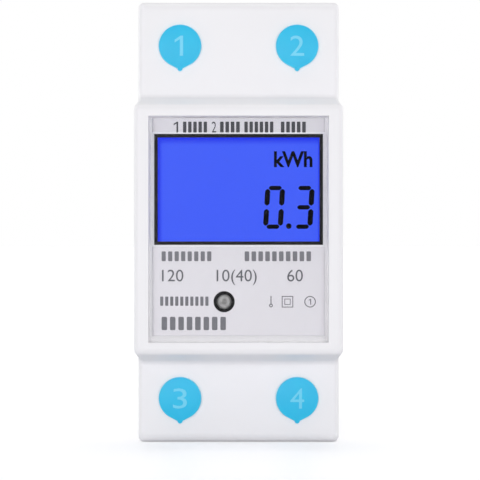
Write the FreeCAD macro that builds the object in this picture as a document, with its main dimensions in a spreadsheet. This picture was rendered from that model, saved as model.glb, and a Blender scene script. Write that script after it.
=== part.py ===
import FreeCAD, Part
import math
import os
from types import SimpleNamespace

import Sketcher

# Two-module energy meter for a 35 mm top-hat rail, with every piece as it comes apart on a bench.
# Millimetres. +X is to the right, +Z is up and the front faces -Y. The origin is the middle of
# the rail seat. A depth here is a distance in front of the rail seat, along -Y.

SIZES = {
    # Housing outside
    "body_width": 36.0,
    "body_above": 40.8,
    "body_below": 38.2,
    "shoulder_depth": 42.0,
    "nose_depth": 58.5,
    "nose_height": 43.0,
    "nose_foot_height": 47.2,
    "back_depth": 6.5,
    "end_round": 1.5,
    "nose_round": 1.2,
    "foot_round": 0.9,
    "side_round": 0.9,
    "back_round": 1.2,
    "seam_bevel": 0.25,
    # Housing inside
    "wall": 1.8,
    "floor_depth": 2.0,
    "nose_wall": 2.6,
    "rim_wall": 0.9,
    "rim_step": 1.8,
    "rim_play": 0.1,
    "rim_over_entry": 4.6,
    "partition": 1.8,
    "barrier": 1.6,
    "overcut": 0.5,
    # Snap arms that hold the two halves together
    "snap_up": 12.0,
    "snap_width": 5.4,
    "snap_arm": 1.1,
    "snap_root": 3.0,
    "snap_window_width": 6.0,
    "snap_window_down": 4.0,
    "snap_window_high": 2.6,
    "snap_play": 0.2,
    "snap_inset": 0.6,
    "snap_tip": 0.9,
    # Seat and groove for the rail, and the pockets that keep the back walls thin
    "groove_half": 17.8,
    "seat_inset": 2.2,
    "seat_relief": 0.4,
    "flange_slot": 1.3,
    "hook_reach": 1.8,
    "hook_thick": 1.7,
    "hook_lead": 2.2,
    "core_depth": 5.0,
    "core_rib": 1.6,
    # Terminals, stacked back from the shoulder
    "terminal_from_side": 7.5,
    "terminal_from_end": 7.9,
    "head_recess": 3.8,
    "head_height": 2.4,
    "head_radius": 3.2,
    "head_bevel": 0.4,
    "head_gap": 0.3,
    "drive_depth": 1.3,
    "drive_width": 1.1,
    "drive_length": 4.8,
    "shank_radius": 2.4,
    "shank_bevel": 0.5,
    "thread_play": 0.05,
    "cage_width": 10.0,
    "cage_length": 8.0,
    "cage_side": 1.0,
    "cage_front": 2.4,
    "cage_back": 1.2,
    "cage_round": 0.8,
    "cage_travel": 6.0,
    "cage_play": 0.3,
    "cage_opening": 6.5,
    "cage_groove": 0.3,
    "cage_groove_wide": 0.8,
    "cage_rib": 2.0,
    "bar_thick": 1.5,
    "bar_width": 7.0,
    "bar_play": 0.1,
    "bar_bend": 1.0,
    "bar_lift": 1.5,
    "bar_end_gap": 0.4,
    "entry_width": 8.0,
    "entry_height": 8.2,
    "entry_corner": 1.6,
    "entry_over_bar": 0.9,
    "entry_bevel": 0.5,
    "shunt_half": 4.0,
    "pin_radius": 0.6,
    "pin_from_shunt": 2.0,
    # Screw wells and their seal plugs
    "well_radius": 4.6,
    "well_bore": 3.5,
    "well_gap": 0.2,
    "access_radius": 2.9,
    "plug_radius": 3.85,
    "plug_tip": 4.45,
    "plug_thick": 0.8,
    "plug_bevel": 0.3,
    "plug_stem": 3.0,
    "plug_play": 0.1,
    "plug_wall": 0.8,
    "plug_hollow": 2.4,
    # Window, faceplate and display, stacked back from the nose
    "window_side": 2.5,
    "window_end": 2.0,
    "lens_recess": 1.6,
    "lens_play": 0.1,
    "lens_sunk": 0.2,
    "lens_bevel": 0.25,
    "ledge_side": 0.6,
    "ledge_top": 0.2,
    "ledge_bottom": 1.1,
    "faceplate_thick": 0.5,
    "faceplate_play": 0.1,
    "view_margin": 1.5,
    "view_down": 3.6,
    "view_height": 18.0,
    "bezel": 0.5,
    "bezel_play": 0.08,
    "frame_depth": 6.2,
    "frame_front": 0.7,
    "frame_side": 1.5,
    "frame_above": 2.6,
    "frame_below": 4.5,
    "frame_wall": 0.8,
    "glass_thick": 2.2,
    "glass_play": 0.1,
    "backlight_thick": 3.0,
    "backlight_below": 0.8,
    "lcd_pin_size": 0.4,
    "lcd_pin_up": 1.2,
    "led_left": 2.5,
    "led_up": 7.0,
    "led_radius": 1.45,
    "led_dome": 1.3,
    "led_flange": 1.7,
    "led_flange_high": 0.8,
    "led_sink": 0.2,
    "led_show_radius": 1.25,
    "collar_radius": 1.75,
    "collar_body": 2.4,
    "collar_play": 0.05,
    "collar_lip": 0.5,
    # Circuit boards and what holds them
    "board_thick": 1.6,
    "board_play": 0.3,
    "board_end_gap": 0.7,
    "power_gap": 3.0,
    "post_radius": 2.4,
    "post_inset": 4.0,
    "ledge_gap": 0.4,
    "ledge_length": 5.0,
    "screw_radius": 1.0,
    "screw_play": 0.05,
    "screw_length": 6.0,
    "screw_head_radius": 2.0,
    "screw_head_high": 1.4,
    "screw_slot": 0.5,
    "screw_slot_deep": 0.7,
    "latch_up": 14.0,
    "latch_width": 3.0,
    "latch_reach": 0.4,
    "latch_slope": 3.0,
    # Parts on the power board. A place across it is a share of its half-width.
    "capacitor_long": 16.0,
    "capacitor_wide": 8.0,
    "capacitor_high": 13.0,
    "capacitor_across": -0.345,
    "capacitor_z": 11.2,
    "varistor_radius": 4.5,
    "varistor_thick": 3.6,
    "varistor_lift": 0.8,
    "varistor_across": 0.6,
    "varistor_z": 18.2,
    "can_radius": 4.0,
    "can_high": 11.5,
    "can_bevel": 0.5,
    "can_neck": 0.35,
    "can_neck_up": 1.6,
    "can_across": 0.6,
    "can_z": 9.0,
    "resistor_radius": 2.2,
    "resistor_waist": 1.8,
    "resistor_cap": 1.8,
    "resistor_taper": 0.9,
    "resistor_long": 10.0,
    "resistor_across": -0.535,
    "resistor_z": 3.4,
    "rectifier_size": 4.4,
    "rectifier_high": 2.4,
    "rectifier_across": 0.095,
    "rectifier_z": 3.4,
    "chip_long": 10.0,
    "chip_wide": 4.0,
    "chip_high": 1.6,
    "chip_across": -0.47,
    "chip_z": -4.4,
    "lead_width": 0.5,
    "lead_reach": 1.0,
    "lead_high": 0.5,
    "crystal_long": 10.4,
    "crystal_wide": 4.2,
    "crystal_high": 3.4,
    "crystal_round": 2.0,
    "crystal_across": -0.535,
    "crystal_z": -12.4,
    "divider_long": 3.2,
    "divider_wide": 1.6,
    "divider_high": 0.7,
    "divider_pitch": 2.6,
    "divider_across": 0.565,
    "divider_z": 1.8,
    # Cable between the boards, and the chip behind the display
    "socket_long": 10.4,
    "socket_wide": 4.0,
    "socket_high": 3.0,
    "socket_across": 0.5,
    "power_socket_z": -12.4,
    "display_socket_z": -15.6,
    "ribbon_width": 9.0,
    "ribbon_thick": 0.6,
    "ribbon_seat": 2.0,
    "ribbon_play": 0.1,
    "ribbon_straight": 8.0,
    "ribbon_bend": 4.0,
    "driver_size": 9.0,
    "driver_high": 1.4,
    "driver_z": 7.0,
    # Catch that locks on the rail, and its spring
    "catch_half": 8.0,
    "catch_thick": 2.0,
    "catch_play": 0.1,
    "catch_side_play": 0.2,
    "catch_beak": 1.7,
    "catch_lead": 1.3,
    "catch_neck": 6.0,
    "catch_seat_thick": 2.2,
    "catch_seat_high": 2.0,
    "catch_tab_sunk": 0.3,
    "catch_tab_high": 3.4,
    "catch_slot_half": 2.5,
    "catch_slot_high": 1.5,
    "catch_slot_up": 0.9,
    "catch_end_gap": 0.2,
    "spring_radius": 1.5,
    "spring_wire": 0.2,
    "spring_length": 8.0,
    "spring_pitch": 1.6,
    "spring_side_gap": 0.5,
    "lug_half": 1.7,
    "lug_thick": 1.6,
    "lug_up": 5.2,
    "lug_gap": 0.2,
}

TERMINALS = {1: ("left", "top"), 2: ("right", "top"), 3: ("left", "bottom"), 4: ("right", "bottom")}
RECTIFIER_LEADS = 2
CHIP_LEADS = 8
DRIVER_LEADS = 10
LCD_PIN_COUNT = 14
DIVIDERS = 4
CORE_COLUMNS = 4
CORE_ROWS = 2
CAGE_GROOVES = 3
WIRE_SIDES = 6
NEAR = 1e-4


class Size:
    """A number together with the sheet expression that gives it."""

    def __init__(self, value, text):
        self.value = float(value)
        self.text = text

    def __add__(self, other):
        other = as_size(other)
        return Size(self.value + other.value, f"({self.text} + {other.text})")

    def __sub__(self, other):
        other = as_size(other)
        return Size(self.value - other.value, f"({self.text} - {other.text})")

    def __mul__(self, other):
        other = as_size(other)
        return Size(self.value * other.value, f"({self.text} * {other.text})")

    def __truediv__(self, other):
        other = as_size(other)
        return Size(self.value / other.value, f"({self.text} / {other.text})")

    def __neg__(self):
        return Size(-self.value, f"(-1 * {self.text})")


def as_size(number):
    return number if isinstance(number, Size) else Size(number, repr(float(number)))


def write_sheet(document):
    """Puts every size in a cell of its own and returns them tied to those cells."""
    sheet = document.addObject("Spreadsheet::Sheet", "sizes")
    tied = {}
    for row, (name, value) in enumerate(SIZES.items(), 1):
        sheet.set(f"A{row}", name)
        sheet.set(f"B{row}", str(value))
        sheet.setAlias(f"B{row}", name)
        tied[name] = Size(value, f"sizes.{name}")
    document.recompute()
    return SimpleNamespace(**tied)


doc = FreeCAD.newDocument("energy_meter")
s = write_sheet(doc)
ZERO = as_size(0)
nodes = []

# Places that more than one piece uses

half_width = s.body_width / 2
inner_half = half_width - s.wall
ends = {"top": s.body_above, "bottom": -s.body_below}
half_nose = s.nose_height / 2
half_foot = s.nose_foot_height / 2
shoulder_inside = s.shoulder_depth - s.wall

head_top = s.shoulder_depth - s.head_recess
head_under = head_top - s.head_height
cage_front_face = head_under - s.head_gap - s.cage_travel
bar_front = cage_front_face - s.cage_front - s.bar_play
bar_back = bar_front - s.bar_thick
cage_back_face = bar_back - s.cage_opening - s.cage_back
terminal_x = half_width - s.terminal_from_side
terminal_z = {
    "top": ends["top"] - s.terminal_from_end,
    "bottom": ends["bottom"] + s.terminal_from_end,
}
chamber_half_width = s.cage_width / 2 + s.cage_play
chamber_half_length = s.cage_length / 2 + s.cage_play
room_top = terminal_z["top"] - chamber_half_length - s.partition
room_bottom = terminal_z["bottom"] + chamber_half_length + s.partition
entry_front = bar_back + s.entry_over_bar
entry_depth = entry_front - s.entry_height / 2
parting = entry_front + s.rim_over_entry
well_back = head_under + s.well_gap
well_ledge = head_top + s.head_gap

strap_back = s.floor_depth + s.bar_lift
strap_front = strap_back + s.bar_thick
leg_top = room_top - s.bar_bend - s.bar_play
leg_bottom = room_bottom + s.bar_bend + s.bar_play
power_back = strap_front + s.power_gap
power_front = power_back + s.board_thick
power_top = leg_top - s.bar_thick - s.board_end_gap
power_bottom = leg_bottom + s.bar_thick + s.board_end_gap
board_half = inner_half - s.board_play
post_z = [power_top - s.post_inset, power_bottom + s.post_inset]

window_half_width = half_width - s.window_side
window_half_height = half_nose - s.window_end
ledge_front = s.nose_depth - s.lens_recess
ledge_back = s.nose_depth - s.nose_wall
opening_half = window_half_width - s.ledge_side
opening_top = window_half_height - s.ledge_top
opening_bottom = -window_half_height + s.ledge_bottom
faceplate_back = ledge_back - s.faceplate_thick
view_half = window_half_width - s.view_margin
view_top = window_half_height - s.view_down
view_bottom = view_top - s.view_height
bezel_front = ledge_back - s.bezel_play
frame_face = faceplate_back - s.bezel_play
frame_back = frame_face - s.frame_depth
frame_half = view_half + s.frame_side
frame_top = view_top + s.frame_above
frame_bottom = view_bottom - s.frame_below
glass_front = frame_face - s.frame_front - s.bezel_play
glass_back = glass_front - s.glass_thick
glass_half = frame_half - s.frame_wall - s.glass_play
glass_top = frame_top - s.frame_wall - s.glass_play
glass_bottom = frame_bottom + s.frame_wall + s.glass_play
display_front = frame_back - s.bezel_play
display_back = display_front - s.board_thick
display_half_height = half_nose - s.wall
led_x = -s.led_left
led_z = -window_half_height + s.led_up
led_top = bezel_front - display_front - s.led_sink

catch_front = -s.flange_slot + s.catch_play
catch_back = catch_front - s.catch_thick
channel_front = catch_front + s.catch_play
channel_step = catch_back - s.catch_play
catch_end = ends["bottom"] + s.catch_end_gap
lug_bottom = ends["bottom"] + s.lug_up
lug_top = lug_bottom + s.lug_thick
spring_top = lug_top + s.spring_length
seat_back = catch_back - s.catch_seat_thick


def new_body(label):
    body = doc.addObject("PartDesign::Body", label)
    body.Label = label
    return body


def keep(piece):
    """Marks a piece as one that gets a file of its own."""
    nodes.append(piece)
    return piece


def bind(item, prop, size):
    item.setExpression(prop, as_size(size).text)


def new_sketch(body, name, plane, offset=ZERO):
    """A sketch on one of the body's origin planes, moved along the plane's normal."""
    sketch = body.newObject("Sketcher::SketchObject", name)
    support = next(f for f in body.Origin.OriginFeatures if f.Role == plane)
    sketch.AttachmentSupport = [(support, "")]
    sketch.MapMode = "FlatFace"
    bind(sketch, ".AttachmentOffset.Base.z", offset)
    return sketch


def front_sketch(body, name, depth):
    """Drawn in X and Z as seen from the front. Its normal points to the front."""
    return new_sketch(body, name, "XZ_Plane", depth)


def side_sketch(body, name):
    """Drawn in the middle plane, in Y and Z."""
    return new_sketch(body, name, "YZ_Plane")


def level_sketch(body, name, z):
    """Drawn in X and Y at a height. Its normal points up."""
    return new_sketch(body, name, "XY_Plane", z)


def hold(sketch, geometry, corner, x, y):
    """Ties one point of a sketch to its place, measured from the sketch origin."""
    for kind, axis, size in (("DistanceX", -2, x), ("DistanceY", -1, y)):
        if size.value == 0:
            sketch.addConstraint(Sketcher.Constraint("PointOnObject", geometry, corner, axis))
            continue
        rule = Sketcher.Constraint(kind, -1, 1, geometry, corner, size.value)
        number = sketch.addConstraint(rule)
        bind(sketch, f"Constraints[{number}]", size)


def outline(sketch, points):
    """A closed outline of straight lines through pairs of sizes."""
    points = [(as_size(x), as_size(y)) for x, y in points]
    corners = [FreeCAD.Vector(x.value, y.value, 0) for x, y in points]
    following = corners[1:] + corners[:1]
    lines = [Part.LineSegment(start, end) for start, end in zip(corners, following)]
    added = list(sketch.addGeometry(lines, False))
    for line, after in zip(added, added[1:] + added[:1]):
        sketch.addConstraint(Sketcher.Constraint("Coincident", line, 2, after, 1))
    for line, (x, y) in zip(added, points):
        hold(sketch, line, 1, x, y)


def rectangle(sketch, left, bottom, right, top):
    outline(sketch, [(left, bottom), (right, bottom), (right, top), (left, top)])


def both_sides(sketch, inner, bottom, outer, top):
    """The same rectangle to the right and to the left of the middle."""
    rectangle(sketch, inner, bottom, outer, top)
    rectangle(sketch, -outer, bottom, -inner, top)


def circle(sketch, x, y, radius):
    x, y = as_size(x), as_size(y)
    middle = FreeCAD.Vector(x.value, y.value, 0)
    ring = sketch.addGeometry(Part.Circle(middle, FreeCAD.Vector(0, 0, 1), radius.value))
    number = sketch.addConstraint(Sketcher.Constraint("Radius", ring, radius.value))
    bind(sketch, f"Constraints[{number}]", radius)
    hold(sketch, ring, 3, x, y)


def arc(sketch, x, y, radius, start_angle, end_angle):
    """An arc about a middle point, anticlockwise between two angles in degrees."""
    middle = FreeCAD.Vector(x.value, y.value, 0)
    whole = Part.Circle(middle, FreeCAD.Vector(0, 0, 1), radius.value)
    span = Part.ArcOfCircle(whole, math.radians(start_angle), math.radians(end_angle))
    added = sketch.addGeometry(span)
    number = sketch.addConstraint(Sketcher.Constraint("Radius", added, radius.value))
    bind(sketch, f"Constraints[{number}]", radius)
    return added


def rounded_rectangle(sketch, x, y, width, height, radius):
    """A rectangle about a middle point, with an arc at each corner."""
    right, high = x + width / 2, y + height / 2
    left, low = x - width / 2, y - height / 2
    sides = [
        ((left + radius, low), (right - radius, low)),
        ((right, low + radius), (right, high - radius)),
        ((right - radius, high), (left + radius, high)),
        ((left, high - radius), (left, low + radius)),
    ]
    middles = [
        (right - radius, low + radius),
        (right - radius, high - radius),
        (left + radius, high - radius),
        (left + radius, low + radius),
    ]
    lines = []
    for pair in sides:
        start, end = [FreeCAD.Vector(p.value, q.value, 0) for p, q in pair]
        lines.append(sketch.addGeometry(Part.LineSegment(start, end)))
        for corner, (p, q) in enumerate(pair, 1):
            hold(sketch, lines[-1], corner, p, q)
    for number, (p, q) in enumerate(middles):
        corner = arc(sketch, p, q, radius, 90 * number - 90, 90 * number)
        after = lines[(number + 1) % len(lines)]
        sketch.addConstraint(Sketcher.Constraint("Coincident", corner, 1, lines[number], 2))
        sketch.addConstraint(Sketcher.Constraint("Coincident", corner, 2, after, 1))


def side_outline(sketch, points):
    """An outline seen from the side, through pairs of depth and height."""
    outline(sketch, [(-as_size(depth), z) for depth, z in points])


def level_outline(sketch, points):
    """An outline seen from above, through pairs of x and depth."""
    outline(sketch, [(x, -as_size(depth)) for x, depth in points])


def extrude(body, kind, name, sketch, length, both, back):
    feature = body.newObject(kind, name)
    feature.Profile = sketch
    feature.SideType = "Symmetric" if both else "One side"
    feature.Reversed = back
    bind(feature, "Length", length)
    return feature


def pad(body, name, sketch, length, both=False, back=False):
    """Adds material on the sketch's normal side, on both sides or behind it."""
    return extrude(body, "PartDesign::Pad", name, sketch, length, both, back)


def pocket(body, name, sketch, length, both=False, onward=False):
    """Cuts behind the sketch, on both sides, or onward along its normal."""
    return extrude(body, "PartDesign::Pocket", name, sketch, length, both, onward)


def turned(label, profile):
    """A body turned about its own Z axis from pairs of radius and height."""
    body = new_body(label)
    sketch = new_sketch(body, label + "_profile", "XZ_Plane")
    outline(sketch, profile)
    feature = body.newObject("PartDesign::Revolution", label + "_turn")
    feature.Profile = sketch
    feature.ReferenceAxis = (sketch, ["V_Axis"])
    return body


def edge_names(shape, test):
    """Names of the edges whose start, middle and end, as x, depth and z, pass a test."""
    names = []
    for number, edge in enumerate(shape.Edges, 1):
        first, last = edge.ParameterRange
        points = [edge.valueAt(first + (last - first) * share) for share in (0, 0.5, 1)]
        if test([(p.x, -p.y, p.z) for p in points]):
            names.append(f"Edge{number}")
    return names


def along(test):
    """Every one of the three points passes."""
    return lambda points: all(test(*point) for point in points)


def midway(test):
    """The middle point passes."""
    return lambda points: test(*points[1])


def near(value, size):
    return abs(value - as_size(size).value) < NEAR


def cross_edges(*corners):
    """Edges that run across the part at given pairs of depth and height."""
    return along(lambda x, depth, z: any(near(depth, a) and near(z, b) for a, b in corners))


def rim_circle(radius, height):
    """A circular edge of a turned body, at a radius and a height."""
    return along(lambda x, depth, z: near(z, height) and near(math.hypot(x, depth), radius))


def dress(body, kind, name, prop, size, test):
    doc.recompute()
    base = body.Tip
    names = edge_names(base.Shape, test)
    if not names:
        raise ValueError(f"{body.Label}, {name}: no edge passes the test")
    feature = body.newObject(kind, name)
    feature.Base = (base, names)
    bind(feature, prop, size)
    return feature


def fillet(body, name, radius, test):
    return dress(body, "PartDesign::Fillet", name, "Radius", radius, test)


def chamfer(body, name, size, test):
    return dress(body, "PartDesign::Chamfer", name, "Size", size, test)


def place(piece, x=ZERO, depth=ZERO, z=ZERO, turn=None):
    """Moves a piece to its place. A turn is an axis and an angle in degrees."""
    if turn:
        axis, angle = turn
        rotation = FreeCAD.Rotation(FreeCAD.Vector(*axis), angle)
        piece.Placement = FreeCAD.Placement(FreeCAD.Vector(), rotation)
    bind(piece, ".Placement.Base.x", x)
    bind(piece, ".Placement.Base.y", -as_size(depth))
    bind(piece, ".Placement.Base.z", z)
    return piece


TO_FRONT = ((1, 0, 0), 90)
TO_BACK = ((1, 0, 0), -90)
TO_RIGHT = ((0, 1, 0), 90)


def block(label, left, right, back, front, bottom, top):
    box = doc.addObject("Part::Box", label)
    box.Label = label
    bind(box, "Length", right - left)
    bind(box, "Width", front - back)
    bind(box, "Height", top - bottom)
    return place(box, left, front, bottom)


def rod(label, radius, length, x, depth, z, turn=None):
    cylinder = doc.addObject("Part::Cylinder", label)
    cylinder.Label = label
    bind(cylinder, "Radius", radius)
    bind(cylinder, "Height", length)
    return place(cylinder, x, depth, z, turn)


def group(label, pieces):
    """Like solids that stay separate and share one node."""
    several = doc.addObject("Part::Compound", label)
    several.Label = label
    several.Links = pieces
    return keep(several)


def spans(low, high, count, rib):
    """Equal spans between two places, with a rib between each and the next."""
    span = (high - low - rib * (count - 1)) / count
    return [(low + (span + rib) * n, low + (span + rib) * n + span) for n in range(count)]


def stripes(low, high, count, width):
    """Equal stripes, each in the middle of its own share of the way from low to high."""
    share = (high - low) / count
    start = low + (share - width) / 2
    return [(start + share * n, start + share * n + width) for n in range(count)]


# Housing


def base_shell():
    body = keep(new_body("base_shell"))
    side = side_sketch(body, "base_side")
    hook_back = -(s.flange_slot + s.hook_thick)
    hook_tip = s.groove_half - s.hook_reach
    seat_half = s.groove_half - s.seat_inset
    side_outline(side, [
        (parting, ends["bottom"]),
        (parting, ends["top"]),
        (-s.back_depth, ends["top"]),
        (-s.back_depth, s.groove_half + s.hook_lead),
        (hook_back, hook_tip),
        (-s.flange_slot, hook_tip),
        (-s.flange_slot, s.groove_half),
        (s.seat_relief, s.groove_half),
        (s.seat_relief, seat_half),
        (0, seat_half),
        (0, -seat_half),
        (s.seat_relief, -seat_half),
        (s.seat_relief, -s.groove_half),
        (-s.back_depth, -s.groove_half),
        (-s.back_depth, ends["bottom"]),
    ])
    pad(body, "base_block", side, s.body_width, both=True)
    back_corners = [(-s.back_depth, z) for z in ends.values()]
    fillet(body, "back_rounds", s.back_round, cross_edges(*back_corners))
    lead_top = (s.groove_half + s.hook_lead).value
    fillet(body, "base_side_rounds", s.side_round, midway(
        lambda x, depth, z: near(abs(x), half_width)
        and depth < parting.value - NEAR
        and (z > lead_top + NEAR or z < -s.groove_half.value - NEAR)
    ))
    chamfer(body, "base_seam", s.seam_bevel, along(lambda x, depth, z: near(depth, parting)))
    cut_inside(body)
    cut_entries(body)
    add_board_seats(body)
    cut_catch_channel(body)
    cut_cores(body)


def cut_inside(body):
    """The rim for the cover, the electronics room, the terminal chambers and strap notches."""
    rim = front_sketch(body, "rim_sketch", parting)
    rim_half = half_width - s.rim_wall
    rectangle(rim, -rim_half, ends["bottom"] + s.rim_wall, rim_half, ends["top"] - s.rim_wall)
    pocket(body, "rim", rim, s.rim_step)

    room = front_sketch(body, "room_sketch", parting)
    rectangle(room, -inner_half, room_bottom, inner_half, room_top)
    pocket(body, "room", room, parting - s.floor_depth)

    inner = terminal_x - chamber_half_width
    outer = terminal_x + chamber_half_width
    chambers = front_sketch(body, "chambers_sketch", parting)
    cage_ribs = front_sketch(body, "cage_ribs_sketch", s.floor_depth)
    middle_half = inner - s.barrier
    for z in terminal_z.values():
        low, high = z - chamber_half_length, z + chamber_half_length
        both_sides(chambers, inner, low, outer, high)
        rectangle(chambers, -middle_half, low, middle_half, high)
        both_sides(cage_ribs, inner, z - s.cage_rib / 2, outer, z + s.cage_rib / 2)
    pocket(body, "chambers", chambers, parting - s.floor_depth)
    pad(body, "cage_ribs", cage_ribs, cage_back_face - s.cage_play - s.floor_depth)

    notches = front_sketch(body, "notches_sketch", parting)
    left = terminal_x - s.bar_width / 2 - s.cage_play
    right = terminal_x + s.bar_width / 2 + s.cage_play
    both_sides(notches, left, room_top - s.overcut, right, room_top + s.partition + s.overcut)
    both_sides(notches, left, room_bottom - s.partition - s.overcut, right, room_bottom + s.overcut)
    pocket(body, "notches", notches, parting - bar_back + s.bar_play)

    windows = side_sketch(body, "snap_windows_sketch")
    window_front = parting - s.snap_window_down
    for up in (s.snap_up, -s.snap_up):
        low, high = up - s.snap_window_width / 2, up + s.snap_window_width / 2
        rectangle(windows, -window_front, low, -window_front + s.snap_window_high, high)
    pocket(body, "snap_windows", windows, s.body_width + s.overcut, both=True)


def cut_entries(body):
    """A rounded way in for each cable, through the end wall, with a bevelled mouth."""
    deep = s.terminal_from_end - chamber_half_length + s.overcut
    for end, z in ends.items():
        entries = level_sketch(body, f"{end}_entries_sketch", z)
        for x in (terminal_x, -terminal_x):
            rounded_rectangle(
                entries, x, -entry_depth, s.entry_width, s.entry_height, s.entry_corner
            )
        pocket(body, f"{end}_entries", entries, deep, onward=end == "bottom")
    reach_x = (s.entry_width / 2).value + NEAR
    reach_depth = (s.entry_height / 2).value + NEAR
    chamfer(body, "entry_mouths", s.entry_bevel, along(
        lambda x, depth, z: (near(z, ends["top"]) or near(z, ends["bottom"]))
        and abs(abs(x) - terminal_x.value) < reach_x
        and abs(depth - entry_depth.value) < reach_depth
    ))


def add_board_seats(body):
    """Two screw posts in the middle and four ledges at the side walls, for the power board."""
    seats = front_sketch(body, "board_seats_sketch", s.floor_depth)
    inner = terminal_x + s.bar_width / 2 + s.ledge_gap
    for z in post_z:
        circle(seats, 0, z, s.post_radius)
        low, high = z - s.ledge_length / 2, z + s.ledge_length / 2
        both_sides(seats, inner, low, inner_half, high)
    pad(body, "board_seats", seats, power_back - s.floor_depth)
    holes = front_sketch(body, "post_holes_sketch", power_back)
    for z in post_z:
        circle(holes, 0, z, s.screw_radius + s.screw_play)
    pocket(body, "post_holes", holes, s.screw_length - s.board_thick + s.screw_play)


def cut_catch_channel(body):
    """A T-shaped channel for the rail catch, open at the bottom end, with the spring's lug."""
    channel = level_sketch(body, "channel_sketch", ends["bottom"])
    wide = s.catch_half + s.catch_side_play
    neck = s.catch_neck + s.catch_side_play
    mouth = -s.back_depth - s.overcut
    level_outline(channel, [
        (-wide, channel_front),
        (wide, channel_front),
        (wide, channel_step),
        (neck, channel_step),
        (neck, mouth),
        (-neck, mouth),
        (-neck, channel_step),
        (-wide, channel_step),
    ])
    pocket(body, "channel", channel, s.body_below - s.groove_half + s.overcut, onward=True)
    lug = front_sketch(body, "lug_sketch", channel_front)
    rectangle(lug, -s.lug_half, lug_bottom, s.lug_half, lug_top)
    pad(body, "lug", lug, channel_front - seat_back, back=True)


def cut_cores(body):
    """Pockets in the back that keep the walls thin, beside the hook and beside the catch."""
    cores = front_sketch(body, "cores_sketch", -s.back_depth)
    high = ends["top"] - s.wall
    low = s.groove_half + s.hook_lead + s.wall
    rows = spans(low, high, CORE_ROWS, s.core_rib)
    for left, right in spans(-inner_half, inner_half, CORE_COLUMNS, s.core_rib):
        for bottom, top in rows:
            rectangle(cores, left, bottom, right, top)
    inner = s.catch_half + s.catch_side_play + s.core_rib
    high = -s.groove_half - s.wall
    low = ends["bottom"] + s.wall
    for bottom, top in spans(low, high, CORE_ROWS, s.core_rib):
        both_sides(cores, inner, bottom, inner_half, top)
    pocket(body, "cores", cores, s.core_depth, onward=True)


def front_cover():
    body = keep(new_body("front_cover"))
    side = side_sketch(body, "cover_side")
    side_outline(side, [
        (parting, ends["bottom"]),
        (s.shoulder_depth, ends["bottom"]),
        (s.shoulder_depth, -half_foot),
        (s.nose_depth, -half_nose),
        (s.nose_depth, half_nose),
        (s.shoulder_depth, half_foot),
        (s.shoulder_depth, ends["top"]),
        (parting, ends["top"]),
    ])
    pad(body, "cover_block", side, s.body_width, both=True)
    shoulder_ends = [(s.shoulder_depth, z) for z in ends.values()]
    nose_ends = [(s.nose_depth, half_nose), (s.nose_depth, -half_nose)]
    foot_ends = [(s.shoulder_depth, half_foot), (s.shoulder_depth, -half_foot)]
    fillet(body, "end_rounds", s.end_round, cross_edges(*shoulder_ends))
    fillet(body, "nose_rounds", s.nose_round, cross_edges(*nose_ends))
    fillet(body, "foot_rounds", s.foot_round, cross_edges(*foot_ends))
    fillet(body, "cover_side_rounds", s.side_round, midway(
        lambda x, depth, z: near(abs(x), half_width) and depth > parting.value + NEAR
    ))
    chamfer(body, "cover_seam", s.seam_bevel, along(lambda x, depth, z: near(depth, parting)))
    hollow_cover(body)
    cut_window(body)
    add_wells(body)
    add_snap_arms(body)


def hollow_cover(body):
    """The space inside, the lip that fits in the base's rim, and the walls between terminals."""
    hollow = side_sketch(body, "hollow_sketch")
    low, high = ends["bottom"] + s.wall, ends["top"] - s.wall
    side_outline(hollow, [
        (parting - s.overcut, low),
        (shoulder_inside, low),
        (shoulder_inside, -half_foot + s.wall),
        (ledge_back, -half_nose + s.wall),
        (ledge_back, half_nose - s.wall),
        (shoulder_inside, half_foot - s.wall),
        (shoulder_inside, high),
        (parting - s.overcut, high),
    ])
    pocket(body, "hollow", hollow, inner_half * 2, both=True)

    lip = front_sketch(body, "lip_sketch", parting)
    out = s.rim_wall + s.rim_play
    lip_half = half_width - out
    rectangle(lip, -lip_half, ends["bottom"] + out, lip_half, ends["top"] - out)
    rectangle(lip, -inner_half, low, inner_half, high)
    pad(body, "lip", lip, s.rim_step - s.snap_play, back=True)

    barriers = front_sketch(body, "barriers_sketch", parting)
    rectangle(barriers, -s.barrier / 2, half_foot - s.wall, s.barrier / 2, high)
    rectangle(barriers, -s.barrier / 2, low, s.barrier / 2, -half_foot + s.wall)
    pad(body, "barriers", barriers, shoulder_inside - parting)


def cut_window(body):
    """The recess that the lens drops into, and the opening inside its ledge."""
    recess = front_sketch(body, "recess_sketch", s.nose_depth)
    rectangle(
        recess, -window_half_width, -window_half_height, window_half_width, window_half_height
    )
    pocket(body, "recess", recess, s.lens_recess)
    opening = front_sketch(body, "opening_sketch", ledge_front)
    rectangle(opening, -opening_half, opening_bottom, opening_half, opening_top)
    pocket(body, "opening", opening, ledge_front - ledge_back + s.overcut)


def add_wells(body):
    """A tube round each terminal screw's head, with a way in for the screwdriver."""
    wells = front_sketch(body, "wells_sketch", well_back)
    bores = front_sketch(body, "bores_sketch", well_back)
    access = front_sketch(body, "access_sketch", s.shoulder_depth)
    for x in (terminal_x, -terminal_x):
        for z in terminal_z.values():
            circle(wells, x, z, s.well_radius)
            circle(bores, x, z, s.well_bore)
            circle(access, x, z, s.access_radius)
    pad(body, "wells", wells, shoulder_inside - well_back)
    pocket(body, "bores", bores, well_ledge - well_back, onward=True)
    pocket(body, "access", access, s.shoulder_depth - well_ledge + s.overcut)


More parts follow.
